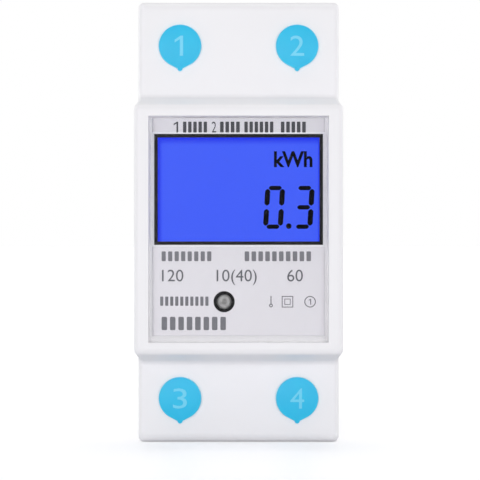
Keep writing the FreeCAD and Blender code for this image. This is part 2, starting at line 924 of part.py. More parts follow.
def add_snap_arms(body):
    """Four arms that click into the base's windows, and four hooks behind the display board."""
    arm_in = inner_half - s.snap_arm
    arm_out = inner_half - s.rim_play
    wall_in = inner_half + s.rim_play
    lip_end = parting - s.rim_step + s.snap_play
    barb_out = half_width - s.snap_inset
    barb_front = parting - s.snap_window_down - s.snap_play
    barb_back = barb_front - s.snap_window_high + s.snap_play * 2
    arm = [
        (arm_in, parting + s.snap_root),
        (wall_in, parting + s.snap_root),
        (wall_in, lip_end),
        (arm_out, lip_end),
        (arm_out, barb_front),
        (barb_out, barb_front),
        (arm_out, barb_back),
        (arm_in, barb_back - s.snap_tip),
    ]
    hook_face = display_back - s.bezel_play
    hook = [
        (wall_in, hook_face),
        (board_half - s.latch_reach, hook_face),
        (wall_in, hook_face - s.latch_slope),
    ]
    for name, points, up, width in (
        ("arm", arm, s.snap_up, s.snap_width),
        ("latch", hook, s.latch_up, s.latch_width),
    ):
        for where, z in (("upper", up), ("lower", -up)):
            sketch = level_sketch(body, f"{where}_{name}s_sketch", z)
            level_outline(sketch, points)
            level_outline(sketch, [(-x, depth) for x, depth in points])
            pad(body, f"{where}_{name}s", sketch, width, both=True)


# Window and display


def window_lens():
    body = keep(new_body("window_lens"))
    sheet = front_sketch(body, "lens_sketch", ledge_front)
    lens_half = window_half_width - s.lens_play
    lens_high = window_half_height - s.lens_play
    rectangle(sheet, -lens_half, -lens_high, lens_half, lens_high)
    pad(body, "lens", sheet, s.lens_recess - s.lens_sunk)
    lens_front = s.nose_depth - s.lens_sunk
    chamfer(body, "lens_edge", s.lens_bevel, along(lambda x, depth, z: near(depth, lens_front)))


def faceplate():
    body = keep(new_body("faceplate"))
    plate = front_sketch(body, "faceplate_sketch", faceplate_back)
    plate_high = half_nose - s.wall - s.faceplate_play
    rectangle(plate, -board_half, -plate_high, board_half, plate_high)
    cut = s.bezel + s.bezel_play
    cut_half = view_half + cut
    rectangle(plate, -cut_half, view_bottom - cut, cut_half, view_top + cut)
    circle(plate, led_x, led_z, s.collar_radius + s.bezel_play)
    pad(body, "faceplate_sheet", plate, s.faceplate_thick)


def lcd_frame():
    body = keep(new_body("lcd_frame"))
    tray_block = front_sketch(body, "frame_sketch", frame_back)
    rectangle(tray_block, -frame_half, frame_bottom, frame_half, frame_top)
    pad(body, "frame_block", tray_block, s.frame_depth)
    bezel = front_sketch(body, "bezel_sketch", frame_face)
    rim = view_half + s.bezel
    rectangle(bezel, -rim, view_bottom - s.bezel, rim, view_top + s.bezel)
    pad(body, "bezel_rim", bezel, bezel_front - frame_face)
    view = front_sketch(body, "view_sketch", bezel_front)
    rectangle(view, -view_half, view_bottom, view_half, view_top)
    pocket(body, "view", view, bezel_front - frame_back + s.overcut)
    tray = front_sketch(body, "tray_sketch", frame_back)
    inner = frame_half - s.frame_wall
    rectangle(tray, -inner, frame_bottom + s.frame_wall, inner, frame_top - s.frame_wall)
    pocket(body, "tray", tray, s.frame_depth - s.frame_front, onward=True)


def display():
    """The glass, the light behind it, its pins, and the board that carries them."""
    keep(block(
        "lcd_glass", -glass_half, glass_half, glass_back, glass_front, glass_bottom, glass_top
    ))
    light_front = glass_back - s.bezel_play
    keep(block(
        "backlight", -glass_half, glass_half, light_front - s.backlight_thick, light_front,
        view_bottom - s.backlight_below, glass_top
    ))
    pin_low = glass_bottom + s.lcd_pin_up - s.lcd_pin_size / 2
    places = stripes(-view_half, view_half, LCD_PIN_COUNT, s.lcd_pin_size)
    group("lcd_pins", [
        block(
            f"lcd_pin_{number}", left, right, display_front, glass_back,
            pin_low, pin_low + s.lcd_pin_size
        )
        for number, (left, right) in enumerate(places, 1)
    ])
    keep(block(
        "display_board", -board_half, board_half, display_back, display_front,
        -display_half_height, display_half_height
    ))


def pulse_led():
    body = keep(turned("pulse_led", [
        (0, 0),
        (s.led_flange, 0),
        (s.led_flange, s.led_flange_high),
        (s.led_radius, s.led_flange_high),
        (s.led_radius, led_top),
        (0, led_top),
    ]))
    fillet(body, "led_dome_round", s.led_dome, rim_circle(s.led_radius, led_top))
    place(body, led_x, display_front, led_z, TO_FRONT)


def led_collar():
    """A sleeve that stands round the light and shows as a ring in the faceplate."""
    step = frame_face - display_front
    rim = bezel_front - display_front
    flange_bore = s.led_flange + s.collar_play
    bore = s.led_radius + s.collar_play
    flange_top = s.led_flange_high + s.collar_play
    body = keep(turned("led_collar", [
        (flange_bore, 0),
        (s.collar_body, 0),
        (s.collar_body, step),
        (s.collar_radius, step),
        (s.collar_radius, rim),
        (s.led_show_radius, rim),
        (s.led_show_radius, rim - s.collar_lip),
        (bore, rim - s.collar_lip - (bore - s.led_show_radius)),
        (bore, flange_top),
        (flange_bore, flange_top),
    ]))
    place(body, led_x, display_front, led_z, TO_FRONT)


# Circuit boards


def power_board():
    body = keep(new_body("power_board"))
    sheet = front_sketch(body, "power_board_sketch", power_back)
    rectangle(sheet, -board_half, power_bottom, board_half, power_top)
    for z in post_z:
        circle(sheet, 0, z, s.screw_radius + s.screw_play)
    pad(body, "power_board_sheet", sheet, s.board_thick)


def board_screws():
    screws = []
    for number, z in enumerate(post_z, 1):
        name = f"board_screw_{number}"
        screw = turned(name, [
            (0, -s.screw_length),
            (s.screw_radius, -s.screw_length),
            (s.screw_radius, 0),
            (s.screw_head_radius, 0),
            (s.screw_head_radius, s.screw_head_high),
            (0, s.screw_head_high),
        ])
        slot = level_sketch(screw, f"{name}_slot_sketch", s.screw_head_high)
        long, half = s.screw_head_radius + s.overcut, s.screw_slot / 2
        rectangle(slot, -long, -half, long, half)
        pocket(screw, f"{name}_slot", slot, s.screw_slot_deep)
        screws.append(place(screw, ZERO, power_front, z, TO_FRONT))
    group("board_screws", screws)


def board_parts():
    """The larger parts soldered to the front of the power board."""
    film = keep(new_body("dropper_capacitor"))
    case = front_sketch(film, "capacitor_sketch", power_front)
    left = board_half * s.capacitor_across - s.capacitor_long / 2
    low = s.capacitor_z - s.capacitor_wide / 2
    rectangle(case, left, low, left + s.capacitor_long, low + s.capacitor_wide)
    pad(film, "capacitor_case", case, s.capacitor_high)

    varistor_x = board_half * s.varistor_across
    disc_depth = power_front + s.varistor_lift + s.varistor_radius
    disc_low = s.varistor_z - s.varistor_thick / 2
    disc = rod(
        "varistor_disc", s.varistor_radius, s.varistor_thick, varistor_x, disc_depth, disc_low
    )
    legs = []
    for side, x in (
        ("left", varistor_x - s.varistor_radius / 2),
        ("right", varistor_x + s.varistor_radius / 2),
    ):
        half = s.pin_radius / 2
        legs.append(block(
            f"varistor_{side}_leg", x - half, x + half, power_front, disc_depth,
            s.varistor_z - half, s.varistor_z + half
        ))
    varistor = doc.addObject("Part::MultiFuse", "varistor")
    varistor.Shapes = [disc] + legs
    keep(varistor)

    can = keep(turned("smoothing_capacitor", [
        (0, 0),
        (s.can_radius, 0),
        (s.can_radius, s.can_neck_up),
        (s.can_radius - s.can_neck, s.can_neck_up + s.can_neck),
        (s.can_radius, s.can_neck_up + s.can_neck * 2),
        (s.can_radius, s.can_high),
        (0, s.can_high),
    ]))
    chamfer(can, "can_top", s.can_bevel, rim_circle(s.can_radius, s.can_high))
    place(can, board_half * s.can_across, power_front, s.can_z, TO_FRONT)

    waist_start = s.resistor_cap + s.resistor_taper
    resistor = keep(turned("safety_resistor", [
        (0, 0),
        (s.resistor_radius, 0),
        (s.resistor_radius, s.resistor_cap),
        (s.resistor_waist, waist_start),
        (s.resistor_waist, s.resistor_long - waist_start),
        (s.resistor_radius, s.resistor_long - s.resistor_cap),
        (s.resistor_radius, s.resistor_long),
        (0, s.resistor_long),
    ]))
    place(
        resistor, board_half * s.resistor_across - s.resistor_long / 2,
        power_front + s.resistor_radius + s.bar_play, s.resistor_z, TO_RIGHT
    )

    crystal = keep(new_body("crystal"))
    can_sketch = front_sketch(crystal, "crystal_sketch", power_front)
    rounded_rectangle(
        can_sketch, board_half * s.crystal_across, s.crystal_z,
        s.crystal_long, s.crystal_wide, s.crystal_round
    )
    pad(crystal, "crystal_can", can_sketch, s.crystal_high)

    dividers = []
    left = board_half * s.divider_across - s.divider_long / 2
    for number in range(DIVIDERS):
        low = s.divider_z - s.divider_pitch * number - s.divider_wide / 2
        dividers.append(block(
            f"divider_{number + 1}", left, left + s.divider_long,
            power_front, power_front + s.divider_high, low, low + s.divider_wide
        ))
    group("divider_resistors", dividers)


def chip(label, x, depth, z, size, leads, turn):
    """A moulded package with a row of leads along each long side, standing on its own Z."""
    long, wide, high = size
    body = keep(new_body(label))
    package = level_sketch(body, f"{label}_sketch", ZERO)
    rectangle(package, -long / 2, -wide / 2, long / 2, wide / 2)
    pad(body, f"{label}_package", package, high)
    rows = level_sketch(body, f"{label}_leads_sketch", ZERO)
    for left, right in stripes(-long / 2, long / 2, leads, s.lead_width):
        rectangle(rows, left, wide / 2, right, wide / 2 + s.lead_reach)
        rectangle(rows, left, -wide / 2 - s.lead_reach, right, -wide / 2)
    pad(body, f"{label}_leads", rows, s.lead_high)
    place(body, x, depth, z, turn)


def chips():
    chip(
        "bridge_rectifier", board_half * s.rectifier_across, power_front, s.rectifier_z,
        (s.rectifier_size, s.rectifier_size, s.rectifier_high), RECTIFIER_LEADS, TO_FRONT
    )
    chip(
        "metering_chip", board_half * s.chip_across, power_front, s.chip_z,
        (s.chip_long, s.chip_wide, s.chip_high), CHIP_LEADS, TO_FRONT
    )
    chip(
        "driver_chip", ZERO, display_back, s.driver_z,
        (s.driver_size, s.driver_size, s.driver_high), DRIVER_LEADS, TO_BACK
    )


def board_link():
    """A flat cable between the boards, seated in a slotted socket at each end."""
    socket_x = board_half * s.socket_across
    for name, depth, z, turn in (
        ("power_socket", power_front, s.power_socket_z, TO_FRONT),
        ("display_socket", display_back, s.display_socket_z, TO_BACK),
    ):
        body = keep(new_body(name))
        case = level_sketch(body, f"{name}_sketch", ZERO)
        half_long, half_wide = s.socket_long / 2, s.socket_wide / 2
        rectangle(case, -half_long, -half_wide, half_long, half_wide)
        pad(body, f"{name}_case", case, s.socket_high)
        slot = level_sketch(body, f"{name}_slot_sketch", s.socket_high)
        slot_half = s.ribbon_width / 2 + s.ribbon_play
        slot_high = s.ribbon_thick / 2 + s.ribbon_play
        rectangle(slot, -slot_half, -slot_high, slot_half, slot_high)
        pocket(body, f"{name}_slot", slot, s.ribbon_seat + s.ribbon_play)
        place(body, socket_x, depth, z, turn)

    body = keep(new_body("link_ribbon"))
    run = side_sketch(body, "ribbon_sketch")
    power_mouth = power_front + s.socket_high
    display_mouth = display_back - s.socket_high
    start, end = power_mouth - s.ribbon_seat, display_mouth + s.ribbon_seat
    turn_start, turn_end = power_mouth + s.ribbon_straight, display_mouth - s.ribbon_straight
    half = s.ribbon_thick / 2
    near_z, far_z = s.power_socket_z, s.display_socket_z
    bends = [
        (turn_start, near_z + half),
        (turn_end, far_z + half),
        (turn_end, far_z - half),
        (turn_start, near_z - half),
    ]
    side_outline(run, [
        (start, near_z + half),
        bends[0],
        bends[1],
        (end, far_z + half),
        (end, far_z - half),
        bends[2],
        bends[3],
        (start, near_z - half),
    ])
    pad(body, "ribbon", run, s.ribbon_width, both=True)
    fillet(body, "ribbon_bends", s.ribbon_bend, cross_edges(*bends))
    place(body, socket_x)


# Current path


def strap(label, x, points, inner_bends, outer_bends):
    """A folded bar, seen from the side through pairs of depth and height."""
    body = keep(new_body(label))
    side = side_sketch(body, f"{label}_side")
    side_outline(side, points)
    pad(body, f"{label}_bar", side, s.bar_width, both=True)
    fillet(body, f"{label}_inner", s.bar_bend, cross_edges(*inner_bends))
    fillet(body, f"{label}_outer", s.bar_bend + s.bar_thick, cross_edges(*outer_bends))
    place(body, x)


def straps():
    """The neutral bar, and the two copper ends of the shunt with the resistive piece between."""
    free_top = terminal_z["top"] + chamber_half_length - s.bar_end_gap
    free_bottom = terminal_z["bottom"] - chamber_half_length + s.bar_end_gap
    top_in, bottom_in = leg_top - s.bar_thick, leg_bottom + s.bar_thick
    upper = [
        (bar_front, top_in),
        (bar_front, free_top),
        (bar_back, free_top),
        (bar_back, leg_top),
        (strap_back, leg_top),
    ]
    lower = [
        (strap_back, leg_bottom),
        (bar_back, leg_bottom),
        (bar_back, free_bottom),
        (bar_front, free_bottom),
        (bar_front, bottom_in),
    ]
    upper_inner = [(bar_back, leg_top), (strap_front, top_in)]
    upper_outer = [(strap_back, leg_top), (bar_front, top_in)]
    lower_inner = [(bar_back, leg_bottom), (strap_front, bottom_in)]
    lower_outer = [(strap_back, leg_bottom), (bar_front, bottom_in)]
    strap(
        "neutral_bar", terminal_x,
        upper + lower + [(strap_front, bottom_in), (strap_front, top_in)],
        upper_inner + lower_inner, upper_outer + lower_outer
    )
    shunt = s.shunt_half
    strap(
        "shunt_copper_top", -terminal_x,
        upper + [(strap_back, shunt), (strap_front, shunt), (strap_front, top_in)],
        upper_inner, upper_outer
    )
    strap(
        "shunt_copper_bottom", -terminal_x,
        [(strap_front, -shunt), (strap_back, -shunt)] + lower + [(strap_front, bottom_in)],
        lower_inner, lower_outer
    )
    keep(block(
        "shunt_manganin", -terminal_x - s.bar_width / 2, -terminal_x + s.bar_width / 2,
        strap_back, strap_front, -shunt, shunt
    ))
    long = power_back - strap_front
    pin_z = shunt + s.pin_from_shunt
    group("sense_pins", [
        rod("sense_pin_top", s.pin_radius, long, -terminal_x, strap_front, pin_z, TO_FRONT),
        rod("sense_pin_bottom", s.pin_radius, long, -terminal_x, strap_front, -pin_z, TO_FRONT),
    ])
    keep(rod("neutral_pin", s.pin_radius, long, terminal_x, strap_front, ZERO, TO_FRONT))


# Terminals


def terminal_cage(number, x, z):
    """A clamp box open along Z. Its front wall carries the thread, its back wall lifts the wire."""
    label = f"terminal_cage_{number}"
    body = keep(new_body(label))
    deep = cage_front_face - cage_back_face
    half = s.cage_width / 2
    ring = front_sketch(body, f"{label}_sketch", ZERO)
    rectangle(ring, -half, -s.cage_length / 2, half, s.cage_length / 2)
    pad(body, f"{label}_block", ring, deep)
    fillet(body, f"{label}_rounds", s.cage_round, midway(
        lambda x, depth, z: near(abs(x), half) and near(z, 0)
        and (near(depth, 0) or near(depth, deep))
    ))
    inside = level_sketch(body, f"{label}_inside_sketch", ZERO)
    inner = half - s.cage_side
    level_outline(inside, [
        (-inner, s.cage_back),
        (inner, s.cage_back),
        (inner, deep - s.cage_front),
        (-inner, deep - s.cage_front),
    ])
    pocket(body, f"{label}_inside", inside, s.cage_length + s.overcut, both=True)
    hole = front_sketch(body, f"{label}_hole_sketch", deep)
    circle(hole, 0, 0, s.shank_radius + s.thread_play)
    pocket(body, f"{label}_hole", hole, s.cage_front + s.overcut)
    grooves = front_sketch(body, f"{label}_grooves_sketch", s.cage_back)
    half_long = s.cage_length / 2
    for low, high in stripes(-half_long, half_long, CAGE_GROOVES, s.cage_groove_wide):
        rectangle(grooves, -inner, low, inner, high)
    pocket(body, f"{label}_grooves", grooves, s.cage_groove)
    place(body, x, cage_back_face, z)


def terminal_screw(number, x, z):
    """A clamp screw with a cross recess. Its tip bears on the bar."""
    label = f"terminal_screw_{number}"
    tip = -(head_under - bar_front - s.thread_play)
    body = keep(turned(label, [
        (0, tip),
        (s.shank_radius - s.shank_bevel, tip),
        (s.shank_radius, tip + s.shank_bevel),
        (s.shank_radius, 0),
        (s.head_radius, 0),
        (s.head_radius, s.head_height - s.head_bevel),
        (s.head_radius - s.head_bevel, s.head_height),
        (0, s.head_height),
    ]))
    drive = level_sketch(body, f"{label}_drive_sketch", s.head_height)
    arm, half = s.drive_length / 2, s.drive_width / 2
    outline(drive, [
        (half, half), (half, arm), (-half, arm), (-half, half),
        (-arm, half), (-arm, -half), (-half, -half), (-half, -arm),
        (half, -arm), (half, -half), (arm, -half), (arm, half),
    ])
    pocket(body, f"{label}_drive", drive, s.drive_depth)
    place(body, x, head_under, z, TO_FRONT)


def seal_plug(number, x, z):
    """A soft cap over the screw's way in, with a hollow stem and a fingernail tip at the bottom."""
    label = f"seal_plug_{number}"
    body = keep(new_body(label))
    cap = front_sketch(body, f"{label}_sketch", ZERO)
    reach = math.degrees(math.acos(s.plug_radius.value / s.plug_tip.value))
    start, end = reach - 90, 270 - reach
    ring = arc(cap, ZERO, ZERO, s.plug_radius, start, end)
    hold(cap, ring, 3, ZERO, ZERO)
    tip = FreeCAD.Vector(0, -s.plug_tip.value, 0)
    touch = [
        FreeCAD.Vector(math.cos(math.radians(angle)), math.sin(math.radians(angle)), 0)
        * s.plug_radius.value
        for angle in (start, end)
    ]
    right = cap.addGeometry(Part.LineSegment(tip, touch[0]))
    left = cap.addGeometry(Part.LineSegment(touch[1], tip))
    hold(cap, right, 1, ZERO, -s.plug_tip)
    cap.addConstraint(Sketcher.Constraint("Coincident", left, 2, right, 1))
    cap.addConstraint(Sketcher.Constraint("Tangent", right, 2, ring, 1))
    cap.addConstraint(Sketcher.Constraint("Tangent", ring, 2, left, 1))
    pad(body, f"{label}_cap", cap, s.plug_thick)
    chamfer(body, f"{label}_rim", s.plug_bevel, along(
        lambda x, depth, z: near(depth, s.plug_thick)
    ))
    stem_radius = s.access_radius - s.plug_play
    stem = front_sketch(body, f"{label}_stem_sketch", ZERO)
    circle(stem, 0, 0, stem_radius)
    pad(body, f"{label}_stem", stem, s.plug_stem, back=True)
    hollow = front_sketch(body, f"{label}_hollow_sketch", -s.plug_stem)
    circle(hollow, 0, 0, stem_radius - s.plug_wall)
    pocket(body, f"{label}_hollow", hollow, s.plug_hollow, onward=True)
    place(body, x, s.shoulder_depth, z)


def terminals():
    for number, (side, end) in TERMINALS.items():
        x = terminal_x if side == "right" else -terminal_x
        terminal_cage(number, x, terminal_z[end])
        terminal_screw(number, x, terminal_z[end])
        seal_plug(number, x, terminal_z[end])


# Rail catch


def rail_catch():
    """A flat slider with a beak for the rail, a seat for the spring and a tab for a screwdriver."""
    body = keep(new_body("rail_catch"))
    top = -s.groove_half + s.catch_beak
    plate = side_sketch(body, "catch_plate_sketch")
    side_outline(plate, [
        (catch_front, catch_end),
        (catch_front, top),
        (catch_back + s.catch_lead, top),
        (catch_back, top - s.catch_lead),
        (catch_back, catch_end),
    ])
    pad(body, "catch_plate", plate, s.catch_half * 2, both=True)

    raised = side_sketch(body, "catch_raised_sketch")
    tab_back = -s.back_depth + s.catch_tab_sunk
    tab_top = catch_end + s.catch_tab_high
    seat_top = spring_top + s.catch_seat_high
    middle = (catch_front + catch_back) / 2
    side_outline(raised, [
        (middle, catch_end),
        (tab_back, catch_end),
        (tab_back, tab_top),
        (middle, tab_top),
    ])
    side_outline(raised, [
        (middle, spring_top),
        (seat_back, spring_top),
        (seat_back, seat_top),
        (catch_back, seat_top + s.catch_seat_thick),
        (middle, seat_top + s.catch_seat_thick),
    ])
    pad(body, "catch_raised", raised, s.catch_neck * 2, both=True)

    window = front_sketch(body, "catch_window_sketch", catch_front)
    window_half = s.spring_radius + s.spring_wire + s.spring_side_gap
    rectangle(window, -window_half, lug_bottom - s.lug_gap, window_half, spring_top)
    pocket(body, "catch_window", window, s.catch_thick + s.overcut)

    slot = front_sketch(body, "catch_slot_sketch", catch_front)
    low = catch_end + s.catch_slot_up
    rectangle(slot, -s.catch_slot_half, low, s.catch_slot_half, low + s.catch_slot_high)
    pocket(body, "catch_slot", slot, catch_front - tab_back + s.overcut)


def catch_spring():
    """An open coil between the lug on the base and the seat on the catch, with faceted wire."""
    body = keep(new_body("catch_spring"))
    wire = new_sketch(body, "spring_sketch", "XZ_Plane")
    corners = [math.radians(360 * number / WIRE_SIDES - 90) for number in range(WIRE_SIDES)]
    outline(wire, [
        (
            s.spring_radius + s.spring_wire * round(math.cos(angle), 6),
            s.spring_wire + s.spring_wire * round(math.sin(angle), 6),
        )
        for angle in corners
    ])
    coil = body.newObject("PartDesign::AdditiveHelix", "coil")
    coil.Profile = wire
    coil.ReferenceAxis = (wire, ["V_Axis"])
    coil.Mode = "pitch-height-angle"
    bind(coil, "Pitch", s.spring_pitch)
    bind(coil, "Height", s.spring_length - s.spring_wire * 2)
    place(body, ZERO, catch_back, lug_top)


base_shell()
front_cover()
window_lens()
faceplate()
lcd_frame()
display()
pulse_led()
led_collar()
power_board()
board_screws()
board_parts()
chips()
board_link()
straps()
terminals()
rail_catch()
catch_spring()
doc.recompute()

# Nothing is written unless every feature worked and every piece is sound

for item in doc.Objects:
    if {"Invalid", "Error"} & set(item.State):
        raise RuntimeError(f"{item.Label} failed: {item.State}")
    base = getattr(item, "BaseFeature", None)
    if base is not None and item.TypeId in ("PartDesign::Pad", "PartDesign::Pocket"):
        grown = item.Shape.Volume - base.Shape.Volume
        if grown * (1 if item.TypeId == "PartDesign::Pad" else -1) <= 0:
            raise RuntimeError(f"{item.Label} changed nothing")
for piece in nodes:
    if piece.Shape.isNull() or not piece.Shape.isValid():
        raise RuntimeError(f"{piece.Label} has no sound shape")

os.makedirs("parts", exist_ok=True)
for piece in nodes:
    piece.Shape.exportStep(f"parts/{piece.Label}.step")
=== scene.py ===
import math

import bmesh
import bpy
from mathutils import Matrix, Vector


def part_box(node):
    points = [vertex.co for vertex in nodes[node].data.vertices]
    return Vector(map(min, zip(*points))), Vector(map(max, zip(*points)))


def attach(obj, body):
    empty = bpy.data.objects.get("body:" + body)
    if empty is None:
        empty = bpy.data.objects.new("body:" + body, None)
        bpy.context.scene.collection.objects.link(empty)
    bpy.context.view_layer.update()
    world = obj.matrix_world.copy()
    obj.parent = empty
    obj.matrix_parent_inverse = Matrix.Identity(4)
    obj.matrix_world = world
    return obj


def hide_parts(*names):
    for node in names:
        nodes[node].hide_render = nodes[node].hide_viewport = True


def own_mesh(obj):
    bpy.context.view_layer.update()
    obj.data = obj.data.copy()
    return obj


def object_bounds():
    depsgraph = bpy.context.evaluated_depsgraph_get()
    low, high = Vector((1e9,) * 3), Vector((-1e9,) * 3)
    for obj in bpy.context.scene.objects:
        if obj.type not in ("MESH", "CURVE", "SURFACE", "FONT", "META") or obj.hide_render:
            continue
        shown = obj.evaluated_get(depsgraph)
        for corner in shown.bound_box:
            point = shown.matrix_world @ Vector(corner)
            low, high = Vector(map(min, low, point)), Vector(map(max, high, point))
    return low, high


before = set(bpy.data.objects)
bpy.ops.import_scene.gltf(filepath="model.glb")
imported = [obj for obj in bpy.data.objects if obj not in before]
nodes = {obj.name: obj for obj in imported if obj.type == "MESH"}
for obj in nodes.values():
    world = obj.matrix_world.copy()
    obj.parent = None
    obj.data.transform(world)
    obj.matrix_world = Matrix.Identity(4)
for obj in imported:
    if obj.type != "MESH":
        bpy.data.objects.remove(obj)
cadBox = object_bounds()
mm = 0.001
terminals = range(1, 5)
noiseSpan = {"From Min": 0.3, "From Max": 0.7}  # nearly all of a noise's values lie between these
print("frame loaded,", len(nodes), "nodes")


def linear(hexColour):
    # an sRGB hex, as a colour picker shows it, to the linear values that a shader takes
    channels = [int(hexColour[n:n + 2], 16) / 255 for n in (1, 3, 5)]
    return [c / 12.92 if c <= 0.04045 else ((c + 0.055) / 1.055) ** 2.4 for c in channels] + [1.0]


def addNode(tree, kind, inputs, **settings):
    # one node, with its settings, its values and the links that come into it
    node = tree.nodes.new("ShaderNode" + kind)
    for name, value in settings.items():
        setattr(node, name, value)
    for socket, value in inputs.items():
        if isinstance(value, bpy.types.NodeSocket):
            tree.links.new(value, node.inputs[socket])
        else:
            node.inputs[socket].default_value = value
    return node


def newMaterial(name, sockets):
    # a principled surface with its constant values on the shader's own sockets, and places on the part
    made = bpy.data.materials.new(name)
    made.use_nodes = True
    tree = made.node_tree
    surface = tree.nodes["Principled BSDF"]
    for socket, value in sockets.items():
        surface.inputs[socket].default_value = value
    place = addNode(tree, "TexCoord", {}).outputs["Object"]
    return made, tree, surface, place


def feed(surface, sources):
    # what varies over a surface goes into its shader's sockets
    for socket, source in sources.items():
        surface.id_data.links.new(source, surface.inputs[socket])


def dullAndRaise(surface, tones, pattern, deepMm, dulling):
    # one pattern both dulls a surface and stands up on it
    satin = addNode(surface.id_data, "MapRange", {"Value": pattern, **dulling})
    relief = addNode(surface.id_data, "Bump", {"Height": pattern, "Distance": deepMm * mm})
    feed(surface, {"Base Color": tones, "Roughness": satin.outputs[0], "Normal": relief.outputs[0]})


def mouldedPlastic(finish):
    # two close tones in wide clouds, and the fine grain that an eroded steel mould leaves. Such a grain is about
    # 0.1 mm, and most are drawn two or three times as coarse so that they show.
    roughSpread = 0.05
    made, tree, surface, place = newMaterial(finish["name"], finish["sockets"])
    clouds = addNode(tree, "TexNoise", {"Vector": place, "Scale": 1 / (finish["cloudMm"] * mm), "Detail": 2.0})
    tones = addNode(tree, "Mix", {
        0: clouds.outputs[0], 6: linear(finish["tone"]), 7: linear(finish["deepTone"]),
    }, data_type="RGBA")
    grain = addNode(tree, "TexNoise", {
        "Vector": place, "Scale": 1 / (finish["grainMm"] * mm), "Detail": 3.0, "Roughness": 0.6,
    })
    dullAndRaise(surface, tones.outputs[2], grain.outputs[0], finish["grainDeepMm"], {
        **noiseSpan, "To Min": finish["rough"] - roughSpread, "To Max": finish["rough"] + roughSpread,
    })
    return made


def workedMetal(finish):
    # a bright skin with stains, and fine lines along the way that it was drawn or rolled, drawn coarser than
    # real ones so that they show
    roughSpread, stainSpan = 0.08, {"From Min": 0.35, "From Max": 0.65}
    made, tree, surface, place = newMaterial(finish["name"], {"Metallic": 1.0})
    stains = addNode(tree, "TexNoise", {"Vector": place, "Scale": 1 / (finish["stainMm"] * mm), "Detail": 4.0})
    spread = addNode(tree, "MapRange", {"Value": stains.outputs[0], **stainSpan})
    tones = addNode(tree, "Mix", {
        0: spread.outputs[0], 6: linear(finish["tone"]), 7: linear(finish["deepTone"]),
    }, data_type="RGBA")
    along = addNode(tree, "Mapping", {"Vector": place, "Scale": finish["lineStretch"]})
    lines = addNode(tree, "TexNoise", {
        "Vector": along.outputs[0], "Scale": 1 / (finish["lineMm"] * mm), "Detail": 2.0,
    })
    dullAndRaise(surface, tones.outputs[2], lines.outputs[0], finish["lineDeepMm"], {
        **noiseSpan, "To Min": finish["rough"] - roughSpread, "To Max": finish["rough"] + roughSpread,
    })
    return made


# Self-extinguishing PC and ABS blend, moulded in an eroded tool: a satin, slightly violet white
whiteAbs = mouldedPlastic({
    "name": "PC ABS blend, white, moulded satin",
    "tone": "#F3F2F5", "deepTone": "#EFEEF1", "cloudMm": 14.0,
    "grainMm": 0.25, "grainDeepMm": 0.004, "rough": 0.45,
    "sockets": {"IOR": 1.57},
})
# Black ABS from a polished tool: deep, with a soft highlight
blackAbs = mouldedPlastic({
    "name": "ABS, black, moulded smooth",
    "tone": "#08080B", "deepTone": "#0D0D11", "cloudMm": 6.0,
    "grainMm": 0.2, "grainDeepMm": 0.002, "rough": 0.38,
    "sockets": {"IOR": 1.54, "Specular IOR Level": 0.15},
})
# Glass-filled nylon: near black, with the grey bloom of fibres at its skin
blackNylon = mouldedPlastic({
    "name": "glass-filled nylon, black, moulded",
    "tone": "#17181A", "deepTone": "#222427", "cloudMm": 3.0,
    "grainMm": 0.3, "grainDeepMm": 0.01, "rough": 0.5,
    "sockets": {"IOR": 1.53},
})
# Natural nylon of pin sockets: creamy and a little waxy
creamNylon = mouldedPlastic({
    "name": "nylon, natural, moulded",
    "tone": "#E9E4D2", "deepTone": "#DFD8C2", "cloudMm": 5.0,
    "grainMm": 0.2, "grainDeepMm": 0.003, "rough": 0.4,
    "sockets": {"IOR": 1.53, "Subsurface Weight": 0.15, "Subsurface Radius": (0.0006, 0.0005, 0.0004)},
})


def sealVinyl():
    # plasticised vinyl, sky blue: light goes a little way in. Its rim, where the cap turns sideways from the
    # front, is painted paler as a painted highlight
    values = {"rim": "#9FE6FB", "highlightTurns": 0.4, "highlightFades": 0.93}
    made = mouldedPlastic({
        "name": "soft vinyl, sky blue, moulded translucent",
        "tone": "#2AC8F0", "deepTone": "#24BEEA", "cloudMm": 4.0,
        "grainMm": 0.35, "grainDeepMm": 0.003, "rough": 0.4,
        "sockets": {"IOR": 1.53, "Specular IOR Level": 0.3, "Subsurface Weight": 0.3,
                    "Subsurface Radius": (0.0003, 0.0009, 0.0012)},
    })
    tree = made.node_tree
    colour = tree.nodes["Principled BSDF"].inputs["Base Color"]
    # painted highlight: the tone turns paler where the cap's surface turns sideways from the front
    facing = addNode(tree, "SeparateXYZ", {0: addNode(tree, "NewGeometry", {}).outputs["Normal"]})
    broad = addNode(tree, "Math", {0: facing.outputs["Y"]}, operation="ABSOLUTE")
    flat = addNode(tree, "MapRange", {
        "Value": broad.outputs[0], "From Min": values["highlightTurns"], "From Max": values["highlightFades"],
    })
    tones = addNode(tree, "Mix", {
        0: flat.outputs[0], 6: linear(values["rim"]), 7: colour.links[0].from_socket,
    }, data_type="RGBA")
    tree.links.new(tones.outputs[2], colour)
    return made


softVinyl = sealVinyl()
# The same vinyl where it stands up as a mark, painted paler: a painted highlight on the raised figures
markHighlightVinyl = mouldedPlastic({
    "name": "soft vinyl, pale blue, raised mark",
    "tone": "#6CD8F6", "deepTone": "#60D0F2", "cloudMm": 4.0,
    "grainMm": 0.35, "grainDeepMm": 0.002, "rough": 0.33,
    "sockets": {"IOR": 1.53, "Subsurface Weight": 0.3, "Subsurface Radius": (0.0003, 0.0009, 0.0012)},
})
# Film capacitor box of polyester, moulded: a warm signal yellow
yellowPolyester = mouldedPlastic({
    "name": "polyester box, yellow, moulded",
    "tone": "#E3B21C", "deepTone": "#D8A412", "cloudMm": 5.0,
    "grainMm": 0.3, "grainDeepMm": 0.006, "rough": 0.42,
    "sockets": {"IOR": 1.57},
})
